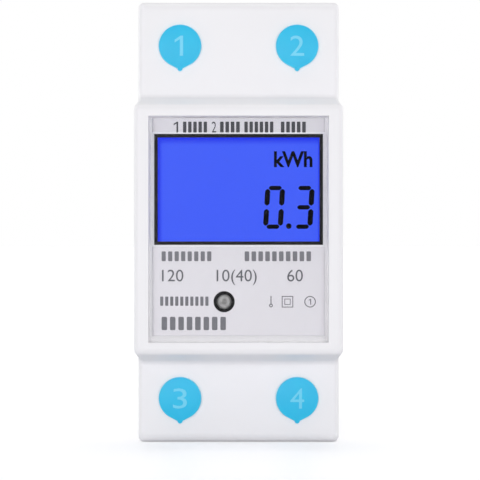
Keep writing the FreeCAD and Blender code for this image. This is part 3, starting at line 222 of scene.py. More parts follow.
# Epoxy that a disc was dipped in: blue, lumpy and glossy
blueEpoxy = mouldedPlastic({
    "name": "epoxy, blue, dipped",
    "tone": "#2450A8", "deepTone": "#1B4296", "cloudMm": 3.0,
    "grainMm": 1.4, "grainDeepMm": 0.06, "rough": 0.22,
    "sockets": {"IOR": 1.55},
})
# Alumina chip resistors under a black glaze
blackGlaze = mouldedPlastic({
    "name": "glazed alumina, black, fired",
    "tone": "#141416", "deepTone": "#1E1E20", "cloudMm": 1.0,
    "grainMm": 0.15, "grainDeepMm": 0.002, "rough": 0.25,
    "sockets": {"IOR": 1.6},
})
# Acrylic light guide with a white print behind it: pale and even
milkyAcrylic = mouldedPlastic({
    "name": "acrylic light guide, milky, moulded",
    "tone": "#DCE4F6", "deepTone": "#D2DCF2", "cloudMm": 5.0,
    "grainMm": 0.5, "grainDeepMm": 0.004, "rough": 0.3,
    "sockets": {"IOR": 1.49, "Subsurface Weight": 0.2, "Subsurface Radius": (0.001, 0.001, 0.0012)},
})
# Steel strip, punched, bent and zinc plated: blue-white with a faint straw stain
zincStrip = workedMetal({
    "name": "steel strip, bent and zinc plated",
    "tone": "#C9CCD2", "deepTone": "#BDB9AC", "stainMm": 2.5,
    "lineStretch": (1.0, 0.08, 1.0), "lineMm": 0.12, "lineDeepMm": 0.004, "rough": 0.34,
})
# Screws, cold headed and zinc plated: brighter, with marks round the axis left by tumbling
zincScrew = workedMetal({
    "name": "steel, cold headed and zinc plated",
    "tone": "#D2D4D6", "deepTone": "#C2BDA8", "stainMm": 1.5,
    "lineStretch": (1.0, 1.0, 1.0), "lineMm": 0.3, "lineDeepMm": 0.006, "rough": 0.3,
})
# Hard drawn spring wire: grey, with draw lines
springWire = workedMetal({
    "name": "spring steel wire, hard drawn",
    "tone": "#A9ABAE", "deepTone": "#8F9194", "stainMm": 1.0,
    "lineStretch": (1.0, 1.0, 0.3), "lineMm": 0.1, "lineDeepMm": 0.003, "rough": 0.32,
})
# Copper strip, rolled: pink brown, dulled in clouds by air
rolledCopper = workedMetal({
    "name": "copper strip, rolled",
    "tone": "#D08A64", "deepTone": "#A9653F", "stainMm": 5.0,
    "lineStretch": (1.0, 1.0, 0.05), "lineMm": 0.1, "lineDeepMm": 0.003, "rough": 0.32,
})
# Manganin strip, rolled: a greyer brown than copper
rolledManganin = workedMetal({
    "name": "manganin strip, rolled",
    "tone": "#B59C86", "deepTone": "#9A826C", "stainMm": 3.0,
    "lineStretch": (1.0, 1.0, 0.05), "lineMm": 0.1, "lineDeepMm": 0.003, "rough": 0.36,
})
# Brass pins, drawn and tinned: soft silver
tinnedPin = workedMetal({
    "name": "brass pin, drawn and tinned",
    "tone": "#D4D4D2", "deepTone": "#C0C0BC", "stainMm": 0.8,
    "lineStretch": (1.0, 0.1, 1.0), "lineMm": 0.08, "lineDeepMm": 0.002, "rough": 0.28,
})
# Nickel silver crystal can, drawn: mirror-like with faint lines
nickelCan = workedMetal({
    "name": "nickel silver can, deep drawn",
    "tone": "#D6D3CC", "deepTone": "#C6C2BA", "stainMm": 3.0,
    "lineStretch": (0.1, 1.0, 1.0), "lineMm": 0.1, "lineDeepMm": 0.002, "rough": 0.22,
})
print("plastics and metals made")


def clearAcrylic():
    # moulded clear, with satin edges: only those and its reflections show. Light passes it unbent on its way to
    # what lies under it, so that the plate isn't left dark.
    values = {
        "rippleMm": 9.0, "rippleDeepMm": 0.002, "faceRough": 0.015, "edgeRough": 0.55,
        "edgeTurns": 0.9, "faceFlattens": 0.995, "clearness": "#FCFCFC",
    }
    made, tree, surface, place = newMaterial("acrylic window, clear, moulded polished", {
        "Base Color": linear("#FFFFFF"), "IOR": 1.49, "Transmission Weight": 1.0,
    })
    ripple = addNode(tree, "TexNoise", {"Vector": place, "Scale": 1 / (values["rippleMm"] * mm), "Detail": 1.0})
    relief = addNode(tree, "Bump", {"Height": ripple.outputs[0], "Distance": values["rippleDeepMm"] * mm})
    facing = addNode(tree, "SeparateXYZ", {0: addNode(tree, "NewGeometry", {}).outputs["True Normal"]})
    broad = addNode(tree, "Math", {0: facing.outputs["Y"]}, operation="ABSOLUTE")
    satin = addNode(tree, "MapRange", {
        "Value": broad.outputs[0], "From Min": values["edgeTurns"], "From Max": values["faceFlattens"],
        "To Min": values["edgeRough"], "To Max": values["faceRough"],
    })
    feed(surface, {"Roughness": satin.outputs[0], "Normal": relief.outputs[0]})
    path = addNode(tree, "LightPath", {})
    passing = addNode(tree, "Math", {0: path.outputs["Is Shadow Ray"], 1: path.outputs["Is Diffuse Ray"]},
                      operation="MAXIMUM")
    unbent = addNode(tree, "BsdfTransparent", {"Color": linear(values["clearness"])})
    both = addNode(tree, "MixShader", {0: passing.outputs[0], 1: surface.outputs[0], 2: unbent.outputs[0]})
    tree.links.new(both.outputs[0], tree.nodes["Material Output"].inputs["Surface"])
    return made


def silverFilm():
    # polycarbonate film, silver ink screen printed on its back: a fine metallic grain, with painted shade that
    # darkens it towards the top, where the recess wall above shades it. Real flakes are about 0.03 mm, and are
    # drawn four times as coarse so that they show.
    values = {
        "high": "#C9C7CD", "low": "#D8D6DC", "lowZMm": -18.0, "highZMm": 19.0,
        "sparkMm": 0.12, "sparkDeepMm": 0.002, "sparkShare": 0.06, "rough": {"To Min": 0.34, "To Max": 0.48},
    }
    made, tree, surface, place = newMaterial("polycarbonate film, silver, screen printed", {
        "Metallic": 0.15, "IOR": 1.58,
    })
    parts = addNode(tree, "SeparateXYZ", {0: place})
    # painted shade: the film darkens from its low tone to its high tone towards the top
    height = addNode(tree, "MapRange", {
        "Value": parts.outputs["Z"], "From Min": values["lowZMm"] * mm, "From Max": values["highZMm"] * mm,
    })
    tones = addNode(tree, "Mix", {
        0: height.outputs[0], 6: linear(values["low"]), 7: linear(values["high"]),
    }, data_type="RGBA")
    sparks = addNode(tree, "TexNoise", {"Vector": place, "Scale": 1 / (values["sparkMm"] * mm), "Detail": 2.0})
    flakes = addNode(tree, "Mix", {
        0: values["sparkShare"], 6: tones.outputs[2], 7: sparks.outputs[1],
    }, data_type="RGBA", blend_type="OVERLAY")
    dullAndRaise(surface, flakes.outputs[2], sparks.outputs[0], values["sparkDeepMm"], {
        **noiseSpan, **values["rough"],
    })
    return made


def litDisplay():
    # liquid crystal glass lit from behind: even blue, darker where the frame shades it. Each edge has its axis,
    # its place, and how far in the shade reaches.
    values = {
        "blue": "#4361FF", "edgeBlue": "#2238F0", "glass": "#05060C",
        "evenMm": 6.0, "uneven": {"To Min": 0.94, "To Max": 1.04},
        "edgesMm": {"left": ("X", -14.0, 1.0), "right": ("X", 14.0, -0.4), "top": ("Z", 15.9, -1.5)},
    }
    made, tree, surface, place = newMaterial("display glass, blue backlit, laminated", {
        "Base Color": linear(values["glass"]), "Roughness": 0.08, "IOR": 1.52, "Emission Strength": 1.0,
    })
    parts = addNode(tree, "SeparateXYZ", {0: place})
    lit = None
    for axis, edge, reach in values["edgesMm"].values():
        shade = addNode(tree, "MapRange", {
            "Value": parts.outputs[axis], "From Min": edge * mm, "From Max": (edge + reach) * mm,
        }, interpolation_type="SMOOTHSTEP").outputs[0]
        if lit is not None:
            shade = addNode(tree, "Math", {0: lit, 1: shade}, operation="MULTIPLY").outputs[0]
        lit = shade
    cells = addNode(tree, "TexNoise", {"Vector": place, "Scale": 1 / (values["evenMm"] * mm), "Detail": 1.0})
    uneven = addNode(tree, "MapRange", {"Value": cells.outputs[0], **values["uneven"]})
    level = addNode(tree, "Math", {0: lit, 1: uneven.outputs[0]}, operation="MULTIPLY")
    glow = addNode(tree, "Mix", {
        0: level.outputs[0], 6: linear(values["edgeBlue"]), 7: linear(values["blue"]),
    }, data_type="RGBA")
    feed(surface, {"Emission Color": glow.outputs[2]})
    return made


def circuitBoard(layout):
    # glass epoxy with a green solder mask: copper tracks show through as a lighter green in low relief
    values = {
        "overTrack": "#2C7A46", "overPad": "#23693B", "overBoard": "#15502B", "trackDeepMm": 0.035,
        "weaveMm": 0.6, "rough": {"To Min": 0.25, "To Max": 0.4},
    }
    made, tree, surface, place = newMaterial("glass epoxy board, green solder mask, " + layout["name"], {
        "IOR": 1.55, "Coat Weight": 0.3, "Coat Roughness": 0.15,
    })
    flat = addNode(tree, "Mapping", {"Vector": place, "Rotation": (math.radians(90), 0, 0)})
    tracks = addNode(tree, "TexBrick", {
        "Vector": flat.outputs[0], "Scale": 1 / (layout["pitchMm"] * mm), "Mortar Size": 0.12,
        "Mortar Smooth": 0.1, "Brick Width": 2.2, "Row Height": 0.5,
        "Color1": linear(values["overTrack"]), "Color2": linear(values["overPad"]),
        "Mortar": linear(values["overBoard"]),
    })
    relief = addNode(tree, "Bump", {"Height": tracks.outputs[0], "Distance": values["trackDeepMm"] * mm})
    weave = addNode(tree, "TexNoise", {"Vector": place, "Scale": 1 / (values["weaveMm"] * mm), "Detail": 2.0})
    satin = addNode(tree, "MapRange", {"Value": weave.outputs[0], **values["rough"]})
    feed(surface, {"Base Color": tracks.outputs[0], "Roughness": satin.outputs[0], "Normal": relief.outputs[0]})
    return made


def mouldedChip(node, chip):
    # black epoxy with a fine matt grain between tinned legs, told apart by how far out they stand
    values = {
        "epoxy": "#18181A", "tin": "#CFCFCB", "epoxyRough": 0.55, "tinRough": 0.28, "grainMm": 0.1,
        "grainDeepMm": 0.004,
    }
    made, tree, surface, place = newMaterial("epoxy chip body and tinned legs, " + node, {"IOR": 1.55})
    low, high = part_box(node)
    middle = (low + high) / 2
    parts = addNode(tree, "SeparateXYZ", {0: place})
    offset = addNode(tree, "Math", {0: parts.outputs[chip["legAxis"]], 1: middle["XYZ".index(chip["legAxis"])]},
                     operation="SUBTRACT")
    away = addNode(tree, "Math", {0: offset.outputs[0]}, operation="ABSOLUTE")
    leg = addNode(tree, "Math", {0: away.outputs[0], 1: chip["bodyHalfMm"] * mm}, operation="GREATER_THAN")
    grain = addNode(tree, "TexNoise", {"Vector": place, "Scale": 1 / (values["grainMm"] * mm), "Detail": 2.0})
    tones = addNode(tree, "Mix", {
        0: leg.outputs[0], 6: linear(values["epoxy"]), 7: linear(values["tin"]),
    }, data_type="RGBA")
    satin = addNode(tree, "MapRange", {
        "Value": leg.outputs[0], "To Min": values["epoxyRough"], "To Max": values["tinRough"],
    })
    relief = addNode(tree, "Bump", {"Height": grain.outputs[0], "Distance": values["grainDeepMm"] * mm})
    feed(surface, {
        "Base Color": tones.outputs[2], "Metallic": leg.outputs[0], "Roughness": satin.outputs[0],
        "Normal": relief.outputs[0],
    })
    return made


def shrunkSleeve():
    # vinyl shrunk over an aluminium can: dark blue with one pale stripe, bare metal on the top
    values = {
        "sleeve": "#1C2440", "stripe": "#C9CCD6", "can": "#C4C6C8", "stripeFromMm": 2.6, "topMm": 0.4,
        "wrinkleMm": 1.2, "wrinkleDeepMm": 0.02, "rough": {"To Min": 0.2, "To Max": 0.34},
    }
    made, tree, surface, place = newMaterial("vinyl sleeve, shrunk on an aluminium can", {"IOR": 1.53})
    low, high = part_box("smoothing_capacitor")
    middle = (low + high) / 2
    parts = addNode(tree, "SeparateXYZ", {0: place})
    side = addNode(tree, "Math", {0: parts.outputs["X"], 1: middle.x - values["stripeFromMm"] * mm},
                   operation="LESS_THAN")
    front = addNode(tree, "Math", {0: parts.outputs["Y"], 1: low.y + values["topMm"] * mm},
                    operation="LESS_THAN")
    striped = addNode(tree, "Mix", {
        0: side.outputs[0], 6: linear(values["sleeve"]), 7: linear(values["stripe"]),
    }, data_type="RGBA")
    tones = addNode(tree, "Mix", {
        0: front.outputs[0], 6: striped.outputs[2], 7: linear(values["can"]),
    }, data_type="RGBA")
    wrinkles = addNode(tree, "TexNoise", {"Vector": place, "Scale": 1 / (values["wrinkleMm"] * mm), "Detail": 3.0})
    dullAndRaise(surface, tones.outputs[2], wrinkles.outputs[0], values["wrinkleDeepMm"], values["rough"])
    feed(surface, {"Metallic": front.outputs[0]})
    return made


def bandedLacquer():
    # baked lacquer of a power resistor: dull green-grey with three painted bands round it
    values = {
        "lacquer": "#6F8F84", "bands": ((0.25, "#7A4B26"), (0.42, "#202022"), (0.59, "#C8A23C")),
        "bandHalfMm": 0.35, "pitMm": 0.3, "pitDeepMm": 0.02, "rough": {"To Min": 0.4, "To Max": 0.6},
    }
    made, tree, surface, place = newMaterial("resistor lacquer, baked, banded", {"IOR": 1.5})
    low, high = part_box("safety_resistor")
    parts = addNode(tree, "SeparateXYZ", {0: place})
    tones = linear(values["lacquer"])
    for share, colour in values["bands"]:
        middle = low.x + (high.x - low.x) * share
        offset = addNode(tree, "Math", {0: parts.outputs["X"], 1: middle}, operation="SUBTRACT")
        away = addNode(tree, "Math", {0: offset.outputs[0]}, operation="ABSOLUTE")
        band = addNode(tree, "Math", {0: away.outputs[0], 1: values["bandHalfMm"] * mm}, operation="LESS_THAN")
        tones = addNode(tree, "Mix", {
            0: band.outputs[0], 6: tones, 7: linear(colour),
        }, data_type="RGBA").outputs[2]
    pits = addNode(tree, "TexNoise", {"Vector": place, "Scale": 1 / (values["pitMm"] * mm), "Detail": 3.0})
    dullAndRaise(surface, tones, pits.outputs[0], values["pitDeepMm"], values["rough"])
    return made


def ribbedRibbon():
    # flat cable, extruded: each wire shows as a round ridge, pale grey with one red wire at the edge
    values = {
        "wires": "#C9C7C2", "edgeWire": "#9E2B2B", "pitchMm": 1.27, "ridgeMm": 0.12,
        "rough": {"From Min": -1.0, "To Min": 0.5, "To Max": 0.35},
    }
    made, tree, surface, place = newMaterial("flat cable, vinyl, extruded in ridges", {"IOR": 1.53})
    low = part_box("link_ribbon")[0]
    pitch = values["pitchMm"] * mm
    parts = addNode(tree, "SeparateXYZ", {0: place})
    turn = addNode(tree, "Math", {0: parts.outputs["X"], 1: 2 * math.pi / pitch}, operation="MULTIPLY")
    ridge = addNode(tree, "Math", {0: turn.outputs[0]}, operation="COSINE")
    edge = addNode(tree, "Math", {0: parts.outputs["X"], 1: low.x + pitch}, operation="LESS_THAN")
    tones = addNode(tree, "Mix", {
        0: edge.outputs[0], 6: linear(values["wires"]), 7: linear(values["edgeWire"]),
    }, data_type="RGBA")
    dullAndRaise(surface, tones.outputs[2], ridge.outputs[0], values["ridgeMm"], values["rough"])
    return made


def clearResin():
    # cast epoxy of the pulse light: grey and glassy, with a painted highlight as a pale ring where the dome meets
    # its rim
    values = {
        "middle": "#545252", "rim": "#FFFFFF", "evenMm": 0.4, "highlightRimMm": 1.3, "highlightShare": 0.8,
        "fleckMm": 0.5, "fleckShare": 0.4,
    }
    made, tree, surface, place = newMaterial("epoxy lamp, water clear, cast", {
        "IOR": 1.55, "Roughness": 0.06, "Coat Weight": 0.5, "Coat Roughness": 0.03,
    })
    low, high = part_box("pulse_led")
    middle = (low + high) / 2
    centred = addNode(tree, "Mapping", {"Vector": place, "Location": (-middle.x, 0, -middle.z),
                                        "Scale": (1.0, 0.0, 1.0)})
    reach = addNode(tree, "VectorMath", {0: centred.outputs[0]}, operation="LENGTH")
    # painted highlight: the tone turns towards white from the middle out to the dome's rim
    share = addNode(tree, "MapRange", {
        "Value": reach.outputs["Value"], "From Min": values["evenMm"] * mm, "From Max": values["highlightRimMm"] * mm,
        "To Max": values["highlightShare"],
    })
    flecks = addNode(tree, "TexNoise", {"Vector": place, "Scale": 1 / (values["fleckMm"] * mm), "Detail": 3.0})
    depth = addNode(tree, "Math", {0: flecks.outputs[0], 1: values["fleckShare"], 2: share.outputs[0]},
                    operation="MULTIPLY_ADD")
    tones = addNode(tree, "Mix", {
        0: depth.outputs[0], 6: linear(values["middle"]), 7: linear(values["rim"]),
    }, data_type="RGBA")
    feed(surface, {"Base Color": tones.outputs[2]})
    return made


def printInk(name, tone, deepTone, gloss=0.3):
    # a thin coat of screen ink, slightly uneven where the mesh of the screen laid it down. The white coat is no
    # print but a painted highlight.
    values = {"meshMm": 0.2, "rough": {"To Min": 0.45, "To Max": 0.55}}
    made, tree, surface, place = newMaterial(name, {"IOR": 1.5, "Specular IOR Level": gloss})
    screen = addNode(tree, "TexNoise", {"Vector": place, "Scale": 1 / (values["meshMm"] * mm), "Detail": 2.0})
    tones = addNode(tree, "Mix", {
        0: screen.outputs[0], 6: linear(tone), 7: linear(deepTone),
    }, data_type="RGBA")
    satin = addNode(tree, "MapRange", {"Value": screen.outputs[0], **values["rough"]})
    feed(surface, {"Base Color": tones.outputs[2], "Roughness": satin.outputs[0]})
    return made


greyInk = printInk("screen ink, grey, printed", "#5F5F66", "#6B6B72")
paleInk = printInk("screen ink, pale grey, printed", "#77777E", "#83838A")
darkInk = printInk("screen ink, near black, printed", "#3C3C43", "#48484F")
# a white painted highlight for the faceplate's cut edge round the display, laid like print
edgeHighlightWhite = printInk("white, painted edge highlight", "#F6F6FA", "#F0F0F6")
# Switched liquid crystal: it stops the light behind it inside the glass, so it is black and has no shine
darkCrystal = printInk("liquid crystal, switched dark", "#010108", "#03030C", gloss=0.04)
print("window, film, display and board finishes made")

dress = {
    "base_shell": whiteAbs, "front_cover": whiteAbs, "window_lens": clearAcrylic(), "faceplate": silverFilm(),
    "lcd_frame": blackAbs, "led_collar": blackAbs, "lcd_glass": litDisplay(), "backlight": milkyAcrylic,
    "display_board": circuitBoard({"name": "front", "pitchMm": 2.54}),
    "power_board": circuitBoard({"name": "back", "pitchMm": 3.81}),
    "pulse_led": clearResin(), "board_screws": zincScrew, "catch_spring": springWire,
    "neutral_bar": rolledCopper, "shunt_copper_top": rolledCopper, "shunt_copper_bottom": rolledCopper,
    "shunt_manganin": rolledManganin, "sense_pins": tinnedPin, "neutral_pin": tinnedPin, "lcd_pins": tinnedPin,
    "dropper_capacitor": yellowPolyester, "varistor": blueEpoxy, "smoothing_capacitor": shrunkSleeve(),
    "safety_resistor": bandedLacquer(), "crystal": nickelCan, "divider_resistors": blackGlaze,
    "power_socket": creamNylon, "display_socket": creamNylon, "link_ribbon": ribbedRibbon(),
    "driver_chip": mouldedChip("driver_chip", {"legAxis": "X", "bodyHalfMm": 3.3}),
    "metering_chip": mouldedChip("metering_chip", {"legAxis": "Z", "bodyHalfMm": 2.0}),
    "bridge_rectifier": mouldedChip("bridge_rectifier", {"legAxis": "Z", "bodyHalfMm": 2.3}),
    "rail_catch": blackNylon,
}
for number in terminals:
    dress[f"terminal_cage_{number}"] = zincStrip
    dress[f"terminal_screw_{number}"] = zincScrew
    dress[f"seal_plug_{number}"] = softVinyl
for nodeName, material in dress.items():
    nodes[nodeName].data.materials.clear()
    nodes[nodeName].data.materials.append(material)
print("frame dressed,", len(dress), "nodes")


def addObject(name, data):
    added = bpy.data.objects.new(name, data)
    bpy.context.scene.collection.objects.link(added)
    return added


def addMesh(name, bm):
    # the mesh lies where it is drawn, so the object itself stays at the origin
    mesh = bpy.data.meshes.new(name)
    bm.to_mesh(mesh)
    bm.free()
    return addObject(name, mesh)


def makePiece(name, bm, material, body, creaseDegrees=35.0):
    # a piece of the part: smooth but for its creases, on a body, with a finish
    bmesh.ops.recalc_face_normals(bm, faces=bm.faces)
    piece = addMesh(name, bm)
    piece.data.materials.append(material)
    piece.data.shade_smooth()
    piece.data.set_sharp_from_angle(angle=math.radians(creaseDegrees))
    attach(piece, body)
    return piece


def easeCorners(points, cut, steps=4):
    # each corner of a flat outline gives way to a short curve that starts and ends cut away from it
    eased = []
    for n, corner in enumerate(points):
        before = Vector(points[n - 1]) - Vector(corner)
        after = Vector(points[(n + 1) % len(points)]) - Vector(corner)
        start = Vector(corner) + before.normalized() * min(cut, before.length / 2)
        end = Vector(corner) + after.normalized() * min(cut, after.length / 2)
        for step in range(steps + 1):
            t = step / steps
            eased.append(start * (1 - t) ** 2 + Vector(corner) * 2 * t * (1 - t) + end * t ** 2)
    return eased


def flatBox(left, low, right, high):
    return [(left, low), (right, low), (right, high), (left, high)]


def joinRings(bm, a, b):
    # a wall between two rings of as many points
    for n in range(len(a)):
        m = (n + 1) % len(a)
        bm.faces.new((a[n], a[m], b[m], b[n]))


def skinRings(bm, rings):
    # a skin over rings one after another, closed at both ends
    for a, b in zip(rings, rings[1:]):
        joinRings(bm, a, b)
    bm.faces.new(rings[0])
    bm.faces.new(rings[-1])


def layShape(bm, outline, back, front):
    # a flat outline of x and z in millimetres, as a thin plate between two depths
    rings = [[bm.verts.new((x * mm, -depth * mm, z * mm)) for x, z in outline] for depth in (back, front)]
    bm.faces.new(rings[1])
    bm.faces.new(rings[0][::-1])
    joinRings(bm, *rings)


def layRing(bm, outer, inner, back, front):
    # the same between an outer and an inner outline of as many points
    loops = [[bm.verts.new((x * mm, -depth * mm, z * mm)) for x, z in outline]
             for outline, depth in ((outer, back), (outer, front), (inner, front), (inner, back))]
    for a, b in zip(loops, loops[1:] + loops[:1]):
        joinRings(bm, a, b)


def circleOutline(x, z, radius, steps=48):
    return [(x + radius * math.cos(2 * math.pi * n / steps), z + radius * math.sin(2 * math.pi * n / steps))
            for n in range(steps)]


def typeset(body, bold):
    # figures from the plain built-in typeface as a mesh, with their lowest and highest corners
    curve = bpy.data.curves.new("figures", "FONT")
    curve.body = body
    curve.resolution_u = 6
    curve.extrude = 0.5  # to both sides, so the figures are one unit thick
    curve.offset = bold
    carrier = bpy.data.objects.new("figures", curve)
    mesh = bpy.data.meshes.new_from_object(carrier)
    bpy.data.objects.remove(carrier)
    bpy.data.curves.remove(curve)
    low = Vector([min(v.co[axis] for v in mesh.vertices) for axis in range(3)])
    high = Vector([max(v.co[axis] for v in mesh.vertices) for axis in range(3)])
    return mesh, low, high


def layText(bm, body, left, low, high, back, front, width=None, bold=0.0):
    # the figures stand between two heights, and brackets may reach past them
    plain, plainLow, plainHigh = typeset(body.replace("(", "").replace(")", ""), bold)
    bpy.data.meshes.remove(plain)
    mesh, first, last = typeset(body, bold)
    tall = (high - low) / (plainHigh.y - plainLow.y)
    wide = tall if width is None else width / (last.x - first.x)
    for v in mesh.vertices:
        x, y, z = v.co
        v.co = ((left + (x - first.x) * wide) * mm,
                -(back + (z - first.z) * (front - back)) * mm,
                (low + (y - plainLow.y) * tall) * mm)
    bm.from_mesh(mesh)
    bpy.data.meshes.remove(mesh)


def layOne(bm, left, low, high, back, front):
    # a figure one with a flag, in shares of its height, because the built-in one is a bare stroke
    tall = high - low
    stroke = [(0.3, 0), (0.46, 0), (0.46, 1), (0.34, 1), (0.04, 0.8), (0.04, 0.66), (0.3, 0.82)]
    layShape(bm, [(left + x * tall, low + z * tall) for x, z in stroke], back, front)


def layBlocks(bm, word, low, high, look, back, front):
    # a word as a row of upright blocks, one to each letter's width
    left, right = word
    count = max(1, round((right - left) / look["pitch"]))
    step = (right - left + look["gap"]) / count
    for n in range(count):
        start = left + step * n
        box = flatBox(start, low, start + step - look["gap"], high)
        layShape(bm, easeCorners(box, look["ease"], 2), back, front)


seal = {
    "capRadius": 3.85, "tipReach": 4.35, "nubAt": 4.08, "nubRadius": 0.47, "nubBlend": 9.0, "tipCrowding": 0.65,
    "capWall": 0.3, "capEase": 0.3, "easeSteps": 5, "rimEase": 0.12, "dome": 0.2, "domeSteps": 8, "crown": 0.05,
    "stemRadius": 2.8, "stemWall": 0.8, "stemEase": (0.2, 0.3), "core": 0.02, "around": 180,
    "figureTall": 3.6, "figureWide": 2.5, "oneWide": 2.2,
}


def sealOutline(inset):
    # a circle whose lowest stretch runs out along two tangents, with a small nub for a fingernail
    points = []
    spread = math.acos(seal["capRadius"] / seal["tipReach"])
    nubSpread = math.asin(seal["nubRadius"] / seal["nubAt"])
    for n in range(seal["around"]):
        # the points crowd towards the tip
        share = 2 * n / seal["around"] - 1
        angle = math.pi * ((1 - seal["tipCrowding"]) * share + seal["tipCrowding"] * share ** 3)
        radius = seal["capRadius"] / math.cos(max(0.0, spread - abs(angle)))
        if abs(angle) < nubSpread:
            across = seal["nubAt"] * math.sin(angle)
            nub = seal["nubAt"] * math.cos(angle) + math.sqrt(seal["nubRadius"] ** 2 - across ** 2)
            k = seal["nubBlend"]
            radius += math.log(1 + math.exp(k * (nub - radius))) / k
        radius -= inset
        points.append((radius * math.sin(angle), -radius * math.cos(angle)))
    return points


def sealPlug(number):
    # a hollow stem under a thin cap, whose low dome turns from the drop's outline into a circle
    low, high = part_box(f"seal_plug_{number}")
    x, z = (low.x + high.x) / 2, high.z - seal["capRadius"] * mm
    back, front = -high.y, -low.y
    seat = front - (seal["capWall"] + seal["capEase"] + seal["dome"]) * mm
    bm = bmesh.new()
    rings = []

    def addRing(points, depth):
        rings.append([bm.verts.new((x + px * mm, -depth, z + pz * mm)) for px, pz in points])

    def circle(radius):
        # it has a point under each point of the drop
        return [(px * radius / seal["capRadius"], pz * radius / seal["capRadius"]) for px, pz in roundPoints]

    roundPoints = [(Vector(point).normalized() * seal["capRadius"])[:] for point in sealOutline(0.0)]
    inner = seal["stemRadius"] - seal["stemWall"]
    easeIn, easeUp = seal["stemEase"]
    for radius, depth in ((inner * seal["core"], seat), (inner, seat), (inner, back),
                          (seal["stemRadius"] - easeIn, back), (seal["stemRadius"], back + easeUp * mm),
                          (seal["stemRadius"], seat)):
        addRing(circle(radius), depth)
    addRing(sealOutline(seal["rimEase"]), seat)
    addRing(sealOutline(0.0), seat + seal["rimEase"] * mm)
    wallTop = seat + seal["capWall"] * mm
    for step in range(seal["easeSteps"] + 1):
        turn = math.pi / 2 * step / seal["easeSteps"]
        inset = seal["capEase"] * (1 - math.cos(turn))
        addRing(sealOutline(inset), wallTop + seal["capEase"] * math.sin(turn) * mm)
    easeTop = wallTop + seal["capEase"] * mm
    for step in range(1, seal["domeSteps"] + 1):
        share = step / seal["domeSteps"]
        inset = seal["capEase"] + (seal["capRadius"] - seal["capEase"] - seal["crown"]) * share
        blend = [((1 - share) * ax + share * bx, (1 - share) * az + share * bz)
                 for (ax, az), (bx, bz) in zip(sealOutline(inset), circle(seal["capRadius"] - inset))]
        addRing(blend, easeTop + seal["dome"] * (1 - (1 - share) ** 2) * mm)
    skinRings(bm, rings)
    plug = makePiece(f"seal_cap_{number}", bm, softVinyl, "meter")
    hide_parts(f"seal_plug_{number}")
    figure = bmesh.new()
    tall, wide = seal["figureTall"], seal["figureWide"]
    stand = (z / mm - tall / 2, z / mm + tall / 2, front / mm - seal["dome"], front / mm)
    if number == 1:
        layOne(figure, x / mm - seal["oneWide"] / 2, *stand)
    else:
        layText(figure, str(number), x / mm - wide / 2, *stand, wide)
    makePiece(f"seal_figure_{number}", figure, markHighlightVinyl, "meter")


for number in terminals:
    sealPlug(number)
print("seal plugs made")

digits = {
    "glassFront": 54.54, "rise": 0.03, "low": 0.09, "high": 7.54, "wide": 3.45, "lean": 0.06,
    "barWide": 0.75, "postWide": 0.9, "taper": 0.8, "cornerGap": 0.11, "middleGap": 0.24, "ease": 0.2,
    "left": {"0": 4.2, "3": 9.32}, "lit": {"0": "abcdef", "3": "abcdg"},
    "point": (8.69, 0.57), "pointRadius": 0.48,
    "unitLeft": 6.13, "unitLow": 10.76, "unitHigh": 13.54, "unitWide": 6.67, "unitBold": 0.028, "sunk": 0.01,
}


def digitBar(letter, wide, tall):
    # one of the seven bars as a flat outline in the digit's own frame, before it leans
    bar, post, gap = digits["barWide"] / 2, digits["postWide"] / 2, digits["cornerGap"]
    levels = {"a": tall - bar, "g": tall / 2, "d": bar}
    if letter in levels:
        z, left, right, point = levels[letter], post + gap, wide - post - gap, bar * digits["taper"]
        return [(left, z), (left + point, z - bar), (right - point, z - bar), (right, z),
                (right - point, z + bar), (left + point, z + bar)]
    x, point = (wide - post if letter in "bc" else post), post * digits["taper"]
    low, high = bar + gap, tall / 2 - digits["middleGap"]
    if letter in "bf":
        low, high = tall - high, tall - low
    return [(x, low), (x + post, low + point), (x + post, high - point), (x, high),
            (x - post, high - point), (x - post, low + point)]


def displayFigures():
    # seven-bar figures, a point and the unit of energy
    bm = bmesh.new()
    back, front = digits["glassFront"] - digits["sunk"], digits["glassFront"] + digits["rise"]
    tall = digits["high"] - digits["low"]
    for figure, left in digits["left"].items():
        for letter in digits["lit"][figure]:
            outline = [(left + x + z * digits["lean"], digits["low"] + z)
                       for x, z in digitBar(letter, digits["wide"], tall)]
            layShape(bm, easeCorners(outline, digits["ease"]), back, front)
    layShape(bm, circleOutline(*digits["point"], digits["pointRadius"]), back, front)
    layText(bm, "kWh", digits["unitLeft"], digits["unitLow"], digits["unitHigh"], back, front,
            digits["unitWide"], digits["unitBold"])
    makePiece("display_figures", bm, darkCrystal, "meter")


displayFigures()
print("display figures made")

plate = {
    "front": 55.9, "rise": 0.02, "sunk": 0.01, "line": 0.16, "markMiddle": -12.5,
    "title": {"low": 16.72, "high": 18.6, "pitch": 0.85, "gap": 0.3, "ease": 0.12,
              "words": [(-9.6, -5.45), (-3.2, 0.2), (1.0, 6.0), (7.3, 11.6)]},
    "titleOne": -11.3, "titleTwo": (-4.64, 0.78),
    "rows": [
        {"low": -5.5, "high": -3.8, "pitch": 1.1, "gap": 0.4, "ease": 0.15,
         "words": [(-13.3, -4.7), (1.05, 12.5)]},
        {"low": -13.2, "high": -11.6, "pitch": 0.87, "gap": 0.32, "ease": 0.12, "words": [(-13.55, -5.2)]},
        {"low": -17.4, "high": -15.1, "pitch": 1.4, "gap": 0.5, "ease": 0.2, "words": [(-13.3, -2.2)]},
    ],
    "ratings": [("120", -13.23), ("10(40)", -3.8), ("60", 8.4)], "ratingLow": -9.0, "ratingHigh": -6.96,
    "squares": [(8.44, 0.99, 0.14), (8.44, 0.53, 0.12)], "ring": (12.34, 0.99), "ringOne": (0.28, 0.5),
    "mast": (5.59, -13.15, -11.5), "mastRadius": 0.32,
    # the display's cut-out, and the width of the white painted highlight round it
    "cutOut": (-14.58, -2.68, 14.58, 16.48), "highlightWide": 0.32,
}


